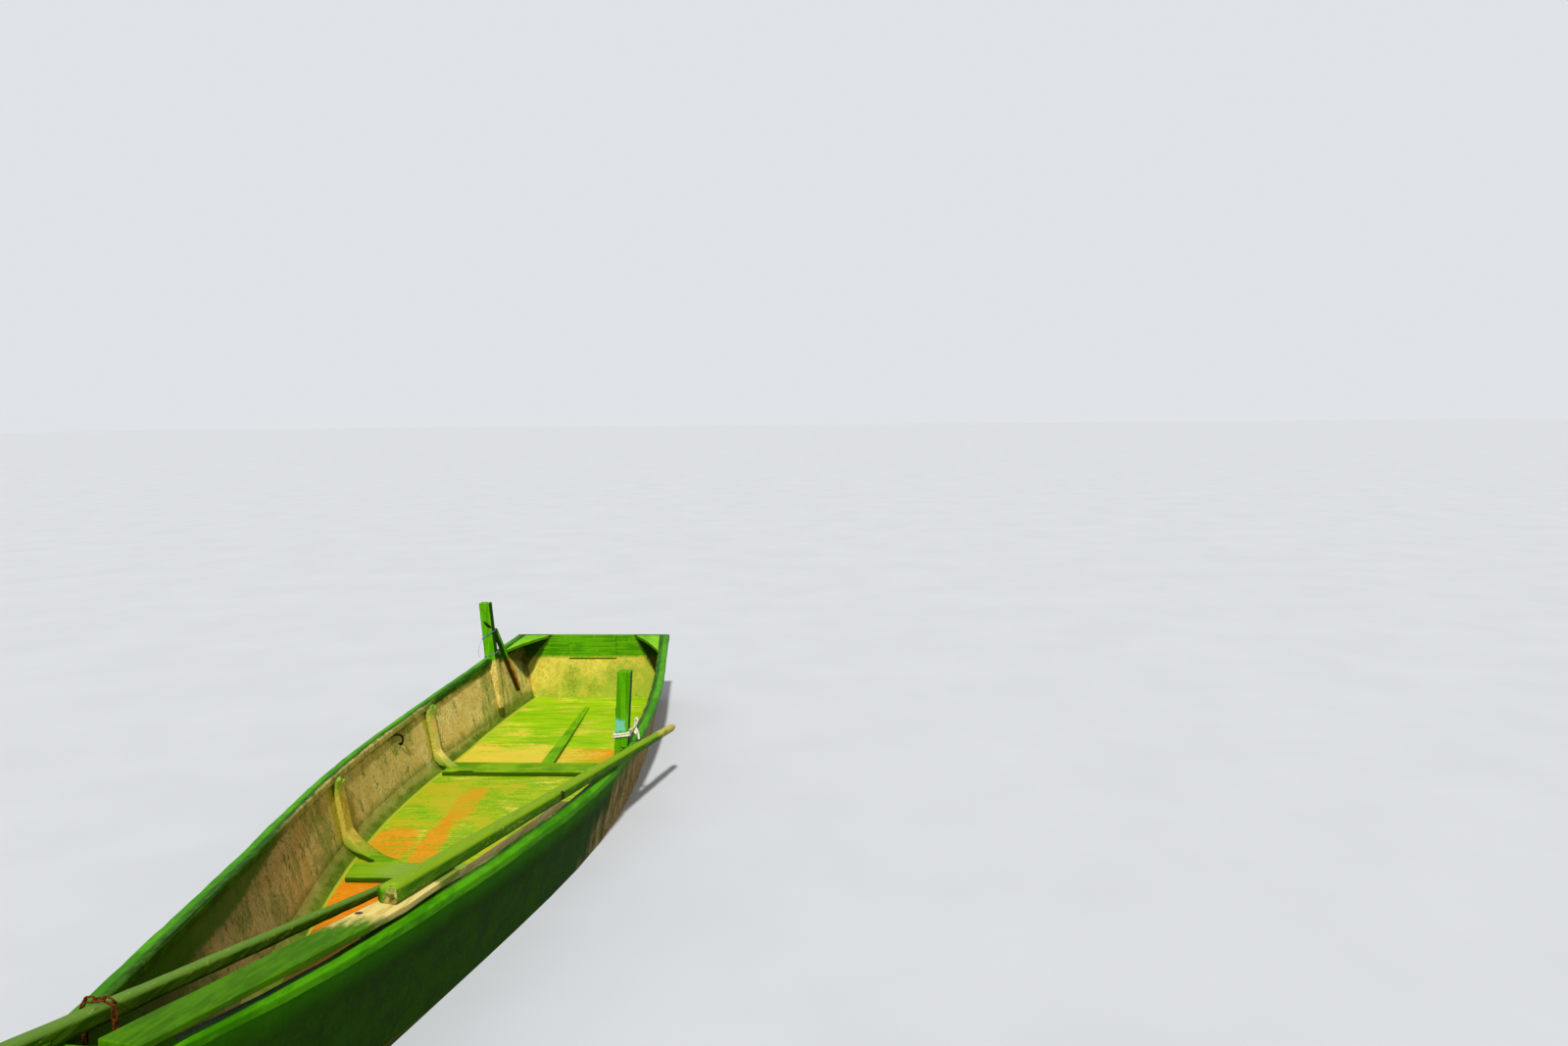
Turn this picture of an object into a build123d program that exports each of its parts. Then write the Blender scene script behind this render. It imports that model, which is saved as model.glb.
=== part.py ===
"""Flat-bottomed wooden rowing boat, skinned with painted glass fibre.

Millimetres. +X points to the bow, +Y to port and +Z up. The origin lies on the
underside of the flat bottom, on the centreline, ORIGIN_FROM_TRANSOM ahead of the
transom's top edge. Two oars lie in the boat, and a chain ties one of them down.
"""
from build123d import *
from math import cos, pi, radians, sin, tan
import os

# Overall sizes
LENGTH = 4800.0  # top of the transom to the front of the side planks
BEAM = 1256.0  # over the gunwales, amidships
DEPTH = 356.0  # underside of the bottom to the top of the gunwale, amidships
ORIGIN_FROM_TRANSOM = 2100.0

# Planking
BOTTOM_T = 30.0
SIDE_T = 22.0
TRANSOM_T = 30.0
RIM_W = 55.0
RIM_H = 28.0
RIM_ROUND = 9.0
RIM_OVERHANG = 15.0
COVE = 50.0  # reach of the glass cove between the side and the bottom
COVE_STERN = 15.0  # its reach at the transom
COVE_FULL = 0.25  # how far forward it has its full reach, as a share of LENGTH
COVE_SHARE = 0.35  # and no more than this share of the inner half-width
COVE_HOLLOW = 0.32  # how near its arc comes to the corner, as a share of its reach

# Stem, knees and transom pad
STEM_HALF_W = 42.0
STEM_NOSE_HALF_W = 14.0
STEM_AHEAD = 55.0
STEM_HEAD = 30.0
KNEE_T = 22.0
KNEE_ALONG_TRANSOM = 150.0
KNEE_ALONG_RIM = 290.0
KNEE_HOLLOW = 8.0
KNEE_TIP_W = 8.0
KNEE_GAP = 0.6  # beside the gunwale, whose inner edge is slightly curved
HOOK_BACK = 350.0
HOOK_HOLLOW = 60.0
PAD_W = 300.0
PAD_H = 145.0
PAD_T = 12.0
PAD_ROUND = 6.0

# Mooring eye
EYE_R = 22.0
EYE_HOLE_R = 11.0
EYE_T = 12.0
EYE_NECK = 10.0
EYE_FLANGE_T = 5.0
EYE_ROOT = 2.0  # how far the neck stops short of the hole
EYE_SHARE = 0.72  # its height, as a share of the stem's

# Frames
TIMBER_W = 150.0
TIMBER_H = 24.0
TIMBER_SHORT = 65.0  # from the foot of the side to the end of a floor timber
RIB_T = 30.0
RIB_FOOT_H = 95.0
RIB_TOE_T = 7.0
RIB_HOLLOW = 0.30  # how far across its bend the rib's arc is drawn into the corner
RIB_WALL_GAP = 0.6  # its line up the side leans, and the side is slightly curved
RIB_TOP_GAP = 0.8  # under the gunwale
RIB_TOE_GAP = 3.0  # between its leaning toe and the timber's face
# The batten on the aft floor, at its two ends: middle, width, height
BATTEN_START = 0.042  # as a share of LENGTH
BATTEN_TAIL = (7.0, 30.0, 4.0)
BATTEN_HEAD = (42.0, 65.0, 22.0)

# Oar posts
POST_T = 42.0
POST_W = 60.0
POST_FOOT_GAP = 6.0
POST_FOOT_T = 16.0
STRUT_W = 27.0
STRUT_D = 38.0
STRUT_BACK = 230.0
STRUT_FOOT_H = 155.0
STRUT_HEAD = 155.0  # how far above the gunwale the strut meets the post

# Fits
SEAT_GAP = 0.2  # beside a curved face
REST_GAP = 0.3  # under what lies loose

# Oars, as stations along the shaft: share of its length, width, height, corner cut
GRIP_OAR = ((0, 26, 26, 7), (0.01, 35, 35, 10), (0.30, 52, 48, 14), (0.70, 66, 52, 14), (1, 66, 52, 9))
BOW_OAR = ((0, 22, 22, 6), (0.01, 29, 29, 8), (0.44, 42, 40, 11), (1, 50, 44, 8))
BLADE_T = 20.0
SIDE_BOARD_T = 16.0
BOARD_GAP = 2.0  # between the two boards' ends
BLADE_UNDER = 300.0  # length of blade under the shaft
BLADE_LIFT = 54.0  # how far the free end of the plank has curled up
# The blade's outline: distance from its root, and its two edges beside the shaft's axis
BLADE_EDGES = ((0, -25, 38), (290, -44, 54), (720, -47, 62), (1170, -45, 60))
BLADE_SPLIT = 9.0  # where the joint of its two boards meets the tip
BOW_BLADE_W = 118.0
BOW_BLADE_ROOT_W = 50.0
BOW_BLADE_NOTCH = 180.0
BOW_BLADE_FREE = 560.0

# Where the two oars lie
GRIP_OAR_PAST_POST = 219.0  # from the port post to where the first one lies over the gunwale's edge
GRIP_OAR_TAIL = 612.0  # its length aft of there
GRIP_OAR_REST = 1.8  # the shaft thickens ahead of there
GRIP_OAR_TIP = (262.0, 80.0)  # the end of its blade on the breasthook: short of LENGTH, and Y
GRIP_OAR_TIP_RISE = 1.2  # clears the slope of the breasthook's top
BOW_OAR_BEHIND = 8.0  # the other's end on the middle timber, behind the timber's middle
BOW_OAR_OFF_RIM = 32.0  # its axis inboard of the gunwale's inner edge, at the breasthook
BOW_OAR_ON_HOOK = 20.0  # how far ahead of the breasthook's aft corners it rests
BOW_OAR_ABOVE_HOOK = 20.5
BOW_OAR_SHORT = 78.0  # from the end of its shaft to LENGTH

# Chain
WIRE_R = 2.4
LINK_PITCH = 20.3
LINK_INNER_L = 20.0
LINK_INNER_W = 8.6
LINK_TURNS = 4  # flats round each end
CHAIN_BACK = 415.0  # from LENGTH
CHAIN_CLEAR = 10.0
CHAIN_BEND = 18.0
CHAIN_START = 70.0  # how far under the oar's axis its first link hangs
CHAIN_DROP = 190.0

# Sections of the hull, from the transom to the stem.
# top, foot: how far forward the section's top and its foot stand, as shares of LENGTH
# beam, chine: half-widths at the gunwale's outside and at the foot, as shares of BEAM / 2
# sheer, rocker: heights of the gunwale's top and of the underside, as shares of DEPTH
SECTIONS = (
    # top,   foot,  beam,  chine, sheer, rocker
    (0.000, 0.006, 0.769, 0.645, 1.261, 0.060),
    (0.104, 0.108, 0.868, 0.742, 1.143, 0.015),
    (0.208, 0.210, 0.951, 0.822, 1.056, 0.000),
    (0.312, 0.312, 0.995, 0.871, 1.008, 0.000),
    (0.417, 0.417, 0.992, 0.874, 1.000, 0.000),
    (0.521, 0.519, 0.919, 0.793, 1.025, 0.000),
    (0.625, 0.620, 0.779, 0.643, 1.087, 0.000),
    (0.729, 0.719, 0.615, 0.471, 1.188, 0.034),
    (0.833, 0.813, 0.444, 0.303, 1.329, 0.126),
    (0.917, 0.883, 0.274, 0.150, 1.489, 0.239),
    (1.000, 0.946, 0.091, 0.067, 1.685, 0.340),
)
ROCKER = 5  # its column

# Frames. share: place of the floor timber's middle along the gunwale, as a share of LENGTH
# foot, head: where the rib stands at the foot and the top of the side, ahead of that middle
# edge: the timber's edge where the rib's toe ends, 0 aft or 1 forward, and reach: how far inboard
FRAMES = (
    # name, share, rib width, foot, head, edge, reach
    ("aft", 0.279, 46.0, -50.0, -82.0, 1, 190.0),
    ("mid", 0.533, 62.0, -222.0, -260.0, 0, 214.0),
)

# Oar posts: side, place along the gunwale as a share of LENGTH, sign of Y, height above
# the gunwale, overhang inboard of it, and lean outboard over that height
POSTS = (
    ("starboard", 0.098, -1, 330.0, 20.0, 30.0),
    ("port", 0.400, 1, 345.0, 30.0, 23.0),
)


def between(low, high, share):
    return low + (high - low) * share


def height_at(stations, share):
    """Height of an oar's shaft at a share of its length."""
    low, high = next(pair for pair in zip(stations, stations[1:]) if share <= pair[1][0])
    return between(low[2], high[2], (share - low[0]) / (high[0] - low[0]))


def beyond(end, second, third):
    """The row past the end of a table, on the parabola through its last three."""
    return [3 * a - 3 * b + c for a, b, c in zip(end, second, third)]


def fair(rows):
    """The rows, with one more between each two, on a smooth curve through its neighbours."""
    result = [rows[0]]
    for at in range(len(rows) - 1):
        low, high = rows[at], rows[at + 1]
        before = rows[at - 1] if at else beyond(*rows[:3])
        after = rows[at + 2] if at + 2 < len(rows) else beyond(*rows[:-4:-1])
        middle = [(9 * (b + c) - a - d) / 16 for a, b, c, d in zip(before, low, high, after)]
        middle[ROCKER] = max(middle[ROCKER], 0)  # the bottom is flat amidships
        result += [middle, high]
    return result


ROWS = fair(SECTIONS)


class Section:
    """The hull's cross-section at a share of the length: a plane with y across and h up the side."""

    def __init__(self, top_share):
        rows = list(zip(ROWS, ROWS[1:]))
        low, high = next((pair for pair in rows if top_share <= pair[1][0]), rows[-1])
        share = (top_share - low[0]) / (high[0] - low[0])
        self.top_share = top_share
        at = [self.corners(row) for row in (low, high)]
        self.foot = at[0][0] + (at[1][0] - at[0][0]) * share
        head = at[0][1] + (at[1][1] - at[0][1]) * share
        rise = head - self.foot
        self.height = rise.length  # to the top of the gunwale
        self.beam = between(at[0][2], at[1][2], share)
        self.chine = between(at[0][3], at[1][3], share)
        up = rise.normalized()
        self.plane = Plane(origin=self.foot, x_dir=(0, 1, 0), z_dir=(up.Z, 0, -up.X))

    @staticmethod
    def corners(row):
        top, foot, beam, chine, sheer, rocker = row
        low = Vector(foot * LENGTH - ORIGIN_FROM_TRANSOM, 0, rocker * DEPTH)
        high = Vector(top * LENGTH - ORIGIN_FROM_TRANSOM, 0, sheer * DEPTH)
        return low, high, beam * BEAM / 2, chine * BEAM / 2

    @property
    def wall_top(self):
        return self.height - RIM_H

    def outside(self, h):
        """Half-width of the side plank's outer face at height h."""
        share = (h - BOTTOM_T) / (self.wall_top - BOTTOM_T)
        return between(self.chine, self.beam - RIM_OVERHANG, share)

    def inside(self, h):
        return self.outside(h) - SIDE_T

    @property
    def cove(self):
        reach = between(COVE_STERN, COVE, min(self.top_share / COVE_FULL, 1))
        return min(reach, COVE_SHARE * self.inside(BOTTOM_T))

    def point(self, y, h):
        return self.plane.from_local_coords(Vector(y, h, 0))


STATIONS = [Section(row[0]) for row in ROWS]


def section_at(x):
    """The section whose gunwale stands x ahead of the origin."""
    return Section((x + ORIGIN_FROM_TRANSOM) / LENGTH)


def top_plane(first, second):
    """The plane along the gunwales' tops between two stations, with X forward."""
    start = STATIONS[first].point(0, STATIONS[first].height)
    end = STATIONS[second].point(0, STATIONS[second].height)
    ahead = (end - start).normalized()
    return Plane(origin=start, x_dir=ahead, z_dir=(-ahead.Z, 0, ahead.X)), (end - start).length


def finish(builder, name):
    builder.part.label = name
    export_step(builder.part, f"parts/{name}.step")


def both_sides(builder, name):
    """Write a port piece and its mirror image to starboard."""
    finish(builder, f"{name}_port")
    with BuildPart() as other:
        mirror(builder.part, about=Plane.XZ)
    finish(other, f"{name}_starboard")


os.makedirs("parts", exist_ok=True)

# Bottom
with BuildPart() as bottom:
    for station in STATIONS:
        with BuildSketch(station.plane):
            with Locations((0, BOTTOM_T / 2)):
                Rectangle(2 * station.chine, BOTTOM_T)
    loft(ruled=True)
finish(bottom, "bottom")

# Side planks
with BuildPart() as side:
    for station in STATIONS:
        foot, head = station.outside(BOTTOM_T), station.outside(station.wall_top)
        with BuildSketch(station.plane):
            with BuildLine():
                Polyline(
                    (foot, BOTTOM_T),
                    (head, station.wall_top),
                    (head - SIDE_T, station.wall_top),
                    (foot - SIDE_T, BOTTOM_T),
                    close=True,
                )
            make_face()
    loft(ruled=True)
both_sides(side, "side")

# Gunwale rims
with BuildPart() as rim:
    for station in STATIONS:
        with BuildSketch(station.plane) as profile:
            with Locations((station.beam - RIM_W / 2, station.height - RIM_H / 2)):
                Rectangle(RIM_W, RIM_H)
            fillet(profile.vertices().group_by(Axis.Y)[-1], RIM_ROUND)
    loft(ruled=True)
both_sides(rim, "gunwale")

# Glass coves along the foot of the sides
with BuildPart() as cove:
    for station in STATIONS[:-1]:
        foot = station.inside(BOTTOM_T)
        toe = foot - station.cove
        foot -= SEAT_GAP
        top = (station.inside(BOTTOM_T + station.cove) - SEAT_GAP, BOTTOM_T + station.cove)
        hollow = (foot - COVE_HOLLOW * station.cove, BOTTOM_T + COVE_HOLLOW * station.cove)
        with BuildSketch(station.plane):
            with BuildLine():
                Line((toe, BOTTOM_T), (foot, BOTTOM_T))
                Line((foot, BOTTOM_T), top)
                ThreePointArc(top, hollow, (toe, BOTTOM_T))
            make_face()
    loft(ruled=True)
both_sides(cove, "cove")

# Transom and its pad
stern = STATIONS[0]
with BuildPart() as transom:
    with BuildSketch(stern.plane):
        with BuildLine():
            Polyline(
                (-stern.chine, 0),
                (stern.chine, 0),
                (stern.beam, stern.wall_top),
                (stern.beam, stern.height),
                (-stern.beam, stern.height),
                (-stern.beam, stern.wall_top),
                close=True,
            )
        make_face()
    extrude(amount=-TRANSOM_T)
finish(transom, "transom")

with BuildPart() as pad:
    with BuildSketch(stern.plane):
        with Locations((0, stern.height - PAD_H / 2)):
            RectangleRounded(PAD_W, PAD_H, PAD_ROUND)
    extrude(amount=PAD_T)
finish(pad, "transom_pad")

# Stem
bow = STATIONS[-1]
with BuildPart() as stem:
    for ahead, half in ((0, STEM_HALF_W), (STEM_AHEAD, STEM_NOSE_HALF_W)):
        with BuildSketch(bow.plane.offset(ahead)):
            with Locations((0, (bow.height + STEM_HEAD) / 2)):
                Rectangle(2 * half, bow.height + STEM_HEAD)
    loft(ruled=True)
finish(stem, "stem")

# Mooring eye on the stem
with BuildPart() as eye:
    nose = bow.plane.offset(STEM_AHEAD)
    centre = nose.from_local_coords(Vector(0, EYE_SHARE * bow.height, EYE_R + EYE_NECK))
    with BuildSketch(nose):
        with Locations((0, EYE_SHARE * bow.height)):
            Circle(EYE_R)
    extrude(amount=EYE_FLANGE_T)
    with BuildSketch(nose):
        with Locations((0, EYE_SHARE * bow.height)):
            Rectangle(EYE_T, EYE_T)
    extrude(amount=EYE_NECK + EYE_R - EYE_HOLE_R - EYE_ROOT)
    with BuildSketch(Plane(centre, x_dir=bow.plane.z_dir, z_dir=(0, 1, 0))):
        Circle(EYE_R)
        Circle(EYE_HOLE_R, mode=Mode.SUBTRACT)
    extrude(amount=EYE_T / 2, both=True)
finish(eye, "mooring_eye")

# Quarter knees, flush with the tops of the gunwales and the transom, in the corners between them
knee_plane, _ = top_plane(0, 1)
with BuildPart() as knee:
    outer = stern.beam - RIM_W - KNEE_GAP
    far = section_at(KNEE_ALONG_RIM - ORIGIN_FROM_TRANSOM)
    tip_out = (KNEE_ALONG_RIM, far.beam - RIM_W - KNEE_GAP)
    tip_in = (KNEE_ALONG_RIM, tip_out[1] - KNEE_TIP_W)
    rake = radians(knee_plane.z_dir.get_angle(stern.plane.y_dir))
    back = KNEE_T * tan(rake) + SEAT_GAP  # its square aft edge clears the raked transom
    inner_corner = (back, outer - KNEE_ALONG_TRANSOM)
    middle = (KNEE_ALONG_RIM / 2 - KNEE_HOLLOW, (inner_corner[1] + tip_in[1]) / 2 + KNEE_HOLLOW)
    with BuildSketch(knee_plane):
        with BuildLine():
            Polyline(inner_corner, (back, outer), tip_out, tip_in)
            ThreePointArc(tip_in, middle, inner_corner)
        make_face()
    extrude(amount=-KNEE_T)
both_sides(knee, "quarter_knee")

# Breasthook
hook_plane, hook_run = top_plane(-3, -1)
with BuildPart() as breasthook:
    front = STATIONS[-1].beam - RIM_ROUND
    back = section_at(LENGTH - HOOK_BACK - ORIGIN_FROM_TRANSOM).beam - RIM_ROUND
    start = hook_run - HOOK_BACK
    with BuildSketch(hook_plane):
        with BuildLine():
            Polyline((start, back), (hook_run, front), (hook_run, -front), (start, -back))
            ThreePointArc((start, -back), (start + HOOK_HOLLOW, 0), (start, back))
        make_face()
    extrude(amount=KNEE_T)
finish(breasthook, "breasthook")


def rib_line(foot_x, head_x):
    """Foot and top of a rib's back, on the inside of the port side."""
    low, high = section_at(foot_x), section_at(head_x)
    top_h = high.wall_top - RIB_TOP_GAP
    foot = low.point(low.inside(BOTTOM_T) - RIB_WALL_GAP, BOTTOM_T)
    return foot, high.point(high.inside(top_h) - RIB_WALL_GAP, top_h)


# Frames: a floor timber across the bottom, and up each side a curved rib whose toe
# sweeps forward to an edge of the timber
for name, share, width, foot, head, edge, reach in FRAMES:
    x_middle = share * LENGTH - ORIGIN_FROM_TRANSOM
    ends = [section_at(x_middle + step) for step in (-TIMBER_W / 2, TIMBER_W / 2)]
    with BuildPart() as timber:
        for end in ends:
            with BuildSketch(end.plane):
                with Locations((0, BOTTOM_T + TIMBER_H / 2)):
                    Rectangle(2 * (end.inside(BOTTOM_T) - TIMBER_SHORT), TIMBER_H)
        loft(ruled=True)
    finish(timber, f"floor_timber_{name}")

    faces = [end.point(0, BOTTOM_T).X for end in ends]
    reaches = [end.inside(BOTTOM_T) - TIMBER_SHORT for end in ends]
    spread = (reaches[1] - reaches[0]) / (faces[1] - faces[0])  # the slant of the timber's end
    over_timber = foot > -TIMBER_W / 2
    toe_x = faces[edge] if over_timber else faces[edge] - RIB_TOE_GAP
    inboard = Vector(toe_x - x_middle - foot, -reach, 0).normalized()
    corner, top = rib_line(x_middle + foot, x_middle + head)
    across = inboard.cross(top - corner)
    with BuildPart() as rib:
        for step in (-width / 2, width / 2):
            low = section_at(x_middle + foot + step)
            corner, top = rib_line(x_middle + foot + step, x_middle + head + step)
            plane = Plane(corner, x_dir=inboard, z_dir=across)
            top = plane.to_local_coords(top)
            cove_h = low.cove + RIB_WALL_GAP
            cove_toe = (low.cove + 2 * RIB_WALL_GAP) / (spread * inboard.X - inboard.Y)
            bend = (top.X * RIB_FOOT_H / top.Y + RIB_T, RIB_FOOT_H)
            on_timber = TIMBER_H + SEAT_GAP
            tip = ((toe_x - corner.X) / inboard.X, on_timber + RIB_TOE_T)
            hollow = (between(bend[0], tip[0], RIB_HOLLOW), between(tip[1], bend[1], RIB_HOLLOW))
            end_y = reaches[0] + spread * (corner.X - faces[0])  # the timber's end, beside the corner
            timber_end = (corner.Y - end_y - SEAT_GAP) / (spread * inboard.X - inboard.Y)
            if over_timber:
                under = [(tip[0], on_timber), (timber_end, on_timber), (timber_end, 0)]
            else:
                under = [(tip[0], 0)]
            with BuildSketch(plane):
                with BuildLine():
                    Polyline(
                        tip,
                        *under,
                        (cove_toe, 0),
                        (top.X * cove_h / top.Y, cove_h),
                        (top.X, top.Y),
                        (top.X + RIB_T, top.Y),
                        bend,
                    )
                    ThreePointArc(bend, hollow, tip)
                make_face()
        loft(ruled=True)
    both_sides(rib, f"rib_{name}")

# Batten on the aft floor, tapering away towards the transom
batten_end = FRAMES[0][1] - TIMBER_W / 2 / LENGTH
batten_shares = [BATTEN_START, *(row[0] for row in ROWS if BATTEN_START < row[0] < batten_end), batten_end]
with BuildPart() as batten:
    for share in batten_shares:
        done = (share - BATTEN_START) / (batten_end - BATTEN_START)
        y, wide, tall = (between(tail, ahead, done) for tail, ahead in zip(BATTEN_TAIL, BATTEN_HEAD))
        with BuildSketch(Section(share).plane):
            with Locations((y, BOTTOM_T + tall / 2)):
                Rectangle(wide, tall)
    loft(ruled=True)
finish(batten, "floor_batten")

# Oar posts, notched over the gunwale, each with a strut from its aft face to the side
for name, share, hand, above, overhang, lean in POSTS:
    with BuildPart() as post:
        for step in (-POST_T / 2, POST_T / 2):
            place = Section(share + step / LENGTH)
            rim_in = place.beam - RIM_W - SEAT_GAP
            face = rim_in - overhang
            top = place.height + above
            foot = BOTTOM_T + place.cove + POST_FOOT_GAP
            outline = [
                (face, place.height),
                (face + lean, top),
                (face + POST_W + lean, top),
                (face + POST_W, place.height),
                (rim_in, place.height),
                (rim_in, place.wall_top - SEAT_GAP),
                (place.inside(place.wall_top) - SEAT_GAP, place.wall_top - SEAT_GAP),
                (place.inside(foot) - SEAT_GAP, foot),
                (place.inside(foot) - POST_FOOT_T, foot),
            ]
            with BuildSketch(place.plane):
                with BuildLine():
                    Polyline(*[(hand * y, h) for y, h in outline], close=True)
                make_face()
        loft(ruled=True)
    finish(post, f"oar_post_{name}")

    head = Section(share - POST_T / 2 / LENGTH)
    base = Section(share - (POST_T / 2 + STRUT_BACK) / LENGTH)
    with BuildPart() as strut:
        for place, y, h in (
            (head, head.beam - RIM_W - overhang + STRUT_W / 2, head.height + STRUT_HEAD),
            (base, base.inside(STRUT_FOOT_H - STRUT_D / 2) - STRUT_W / 2 - SEAT_GAP, STRUT_FOOT_H),
        ):
            with BuildSketch(place.plane):
                with Locations((hand * y, h)):
                    Rectangle(STRUT_W, STRUT_D)
        loft(ruled=True)
    finish(strut, f"post_strut_{name}")


class Shaft:
    """A straight run from start towards aim, with its own planes across and along it."""

    def __init__(self, start, aim):
        self.start = start
        self.ahead = (aim - start).normalized()
        self.side = Vector(-self.ahead.Y, self.ahead.X, 0).normalized()
        self.up = self.ahead.cross(self.side)

    def across(self, distance):
        return Plane(self.start + self.ahead * distance, x_dir=self.side, z_dir=self.ahead)

    def along(self, distance, drop=0.0):
        """The plane of a board under the shaft, X forward and Z up."""
        origin = self.start + self.ahead * distance - self.up * drop
        return Plane(origin, x_dir=self.ahead, z_dir=self.up)

    def upright(self, distance):
        """The plane through the shaft's middle, X forward and Y up."""
        return Plane(self.start + self.ahead * distance, x_dir=self.ahead, z_dir=-self.side)


def hook_top(x):
    """Height of the breasthook's top, x ahead of the origin."""
    rise = hook_plane.x_dir.Z / hook_plane.x_dir.X
    return hook_plane.origin.Z + (x - hook_plane.origin.X) * rise + KNEE_T / hook_plane.z_dir.Z


# The oar whose grip lies over the port gunwale
_, share, *_ = POSTS[1]
rest_x = share * LENGTH + POST_T / 2 + GRIP_OAR_PAST_POST - ORIGIN_FROM_TRANSOM
rest = section_at(rest_x)
rim_top = Vector(rest_x, rest.beam, rest.point(0, rest.height).Z)
under = GRIP_OAR[-1][2] / 2
blade_l = BLADE_EDGES[-1][0]
tip_x = LENGTH - GRIP_OAR_TIP[0] - ORIGIN_FROM_TRANSOM
tip_axis = Vector(
    tip_x, GRIP_OAR_TIP[1], hook_top(tip_x) + GRIP_OAR_TIP_RISE + BLADE_T + under - BLADE_LIFT
)
root = GRIP_OAR_TAIL + (tip_axis - rim_top).length - blade_l
shaft_l = root + BLADE_UNDER
rest_h = height_at(GRIP_OAR, GRIP_OAR_TAIL / shaft_l) / 2
at_rim = rim_top + Vector(0, 0, rest_h + GRIP_OAR_REST)
oar_line = Shaft(at_rim - (tip_axis - at_rim).normalized() * GRIP_OAR_TAIL, at_rim)
with BuildPart() as grip_oar:
    for along, wide, tall, corner in GRIP_OAR:
        with BuildSketch(oar_line.across(along * shaft_l)) as octagon:
            Rectangle(wide, tall)
            chamfer(octagon.vertices(), corner)
    loft(ruled=True)
finish(grip_oar, "oar_shaft_port")

blade_plane = oar_line.along(root, under)


def curl(thickness):
    """Side view of a plank: flat under the shaft, then curled up to its free end."""
    return (
        (0, -under),
        (BLADE_UNDER, -under),
        (blade_l, -under + BLADE_LIFT),
        (blade_l, -under + BLADE_LIFT - thickness),
        (BLADE_UNDER, -under - thickness),
        (0, -under - thickness),
    )


inner_edge = [(distance, inner) for distance, inner, outer in BLADE_EDGES]
outer_edge = [(distance, outer) for distance, inner, outer in BLADE_EDGES[:-1]]
boards = (
    ("oar_blade_port", BLADE_T, [*outer_edge, (blade_l, BLADE_SPLIT), *reversed(inner_edge)]),
    (
        "oar_side_board_port",
        SIDE_BOARD_T,
        [
            (outer_edge[-1][0] + BOARD_GAP, outer_edge[-1][1] + REST_GAP),
            (blade_l, BLADE_SPLIT + REST_GAP),
            (blade_l, BLADE_EDGES[-1][2] + REST_GAP),
        ],
    ),
)
for name, thickness, outline in boards:
    with BuildPart() as board:
        with BuildSketch(blade_plane):
            with BuildLine():
                Polyline(*outline, close=True)
            make_face()
        extrude(amount=2 * BLADE_LIFT, both=True)
        with BuildSketch(oar_line.upright(root)):
            with BuildLine():
                Polyline(*curl(thickness), close=True)
            make_face()
        extrude(amount=BLADE_UNDER, both=True, mode=Mode.INTERSECT)
    finish(board, name)

# The oar that lies over the bow
aft_x = FRAMES[1][1] * LENGTH - BOW_OAR_BEHIND - ORIGIN_FROM_TRANSOM
timber_top = section_at(aft_x).point(0, BOTTOM_T + TIMBER_H)
hook_edge = LENGTH - HOOK_BACK + BOW_OAR_ON_HOOK - ORIGIN_FROM_TRANSOM
bow_oar_y = BOW_OAR_OFF_RIM + RIM_W - section_at(hook_edge).beam
aft_rest = Vector(timber_top.X, bow_oar_y, timber_top.Z + BOW_OAR[0][2] / 2)
bow_rest = Vector(hook_edge, bow_oar_y, hook_top(hook_edge) + BOW_OAR_ABOVE_HOOK)
bow_line = Shaft(aft_rest, bow_rest)
bow_end = (LENGTH - BOW_OAR_SHORT - ORIGIN_FROM_TRANSOM - aft_rest.X) / bow_line.ahead.X
bow_under = BOW_OAR[-1][2] / 2
with BuildPart() as bow_oar:
    for along, wide, tall, corner in BOW_OAR:
        with BuildSketch(bow_line.across(along * bow_end)) as octagon:
            Rectangle(wide, tall)
            chamfer(octagon.vertices(), corner)
    loft(ruled=True)
    with BuildSketch(bow_line.upright(bow_end - BOW_BLADE_NOTCH)):
        with BuildLine():
            Polyline(
                (0, -2 * bow_under),
                (0, BLADE_T - bow_under),
                (2 * BOW_BLADE_NOTCH, BLADE_T - bow_under),
                (2 * BOW_BLADE_NOTCH, -2 * bow_under),
                close=True,
            )
        make_face()
    extrude(amount=BOW_BLADE_W, both=True, mode=Mode.SUBTRACT)
finish(bow_oar, "oar_shaft_bow")

with BuildPart() as bow_blade:
    with BuildSketch(bow_line.along(bow_end - BOW_BLADE_NOTCH, bow_under)):
        with BuildLine():
            Polyline(
                (0, BOW_BLADE_ROOT_W / 2),
                (BOW_BLADE_NOTCH, BOW_BLADE_W / 2),
                (BOW_BLADE_NOTCH + BOW_BLADE_FREE, BOW_BLADE_W / 2),
                (BOW_BLADE_NOTCH + BOW_BLADE_FREE, -BOW_BLADE_W / 2),
                (BOW_BLADE_NOTCH, -BOW_BLADE_W / 2),
                (0, -BOW_BLADE_ROOT_W / 2),
                close=True,
            )
        make_face()
    extrude(amount=BLADE_T)
finish(bow_blade, "oar_blade_bow")

# Chain over the bow oar, from a staple on the starboard gunwale, link by link
chain_x = LENGTH - CHAIN_BACK - ORIGIN_FROM_TRANSOM
run = (chain_x - bow_line.start.X) / bow_line.ahead.X
middle = bow_line.start + bow_line.ahead * run
half_w = BOW_OAR[-1][1] / 2 + CHAIN_CLEAR
half_h = BOW_OAR[-1][2] / 2 + CHAIN_CLEAR
chain_plane = Plane(middle, x_dir=(0, 1, 0), z_dir=(1, 0, 0))
with BuildLine(chain_plane) as route:
    FilletPolyline(
        (-half_w, -CHAIN_START),
        (-half_w, half_h),
        (half_w, half_h),
        (half_w, -CHAIN_DROP),
        radius=CHAIN_BEND,
    )
path = route.wire()
count = int(path.length // LINK_PITCH)

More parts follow.
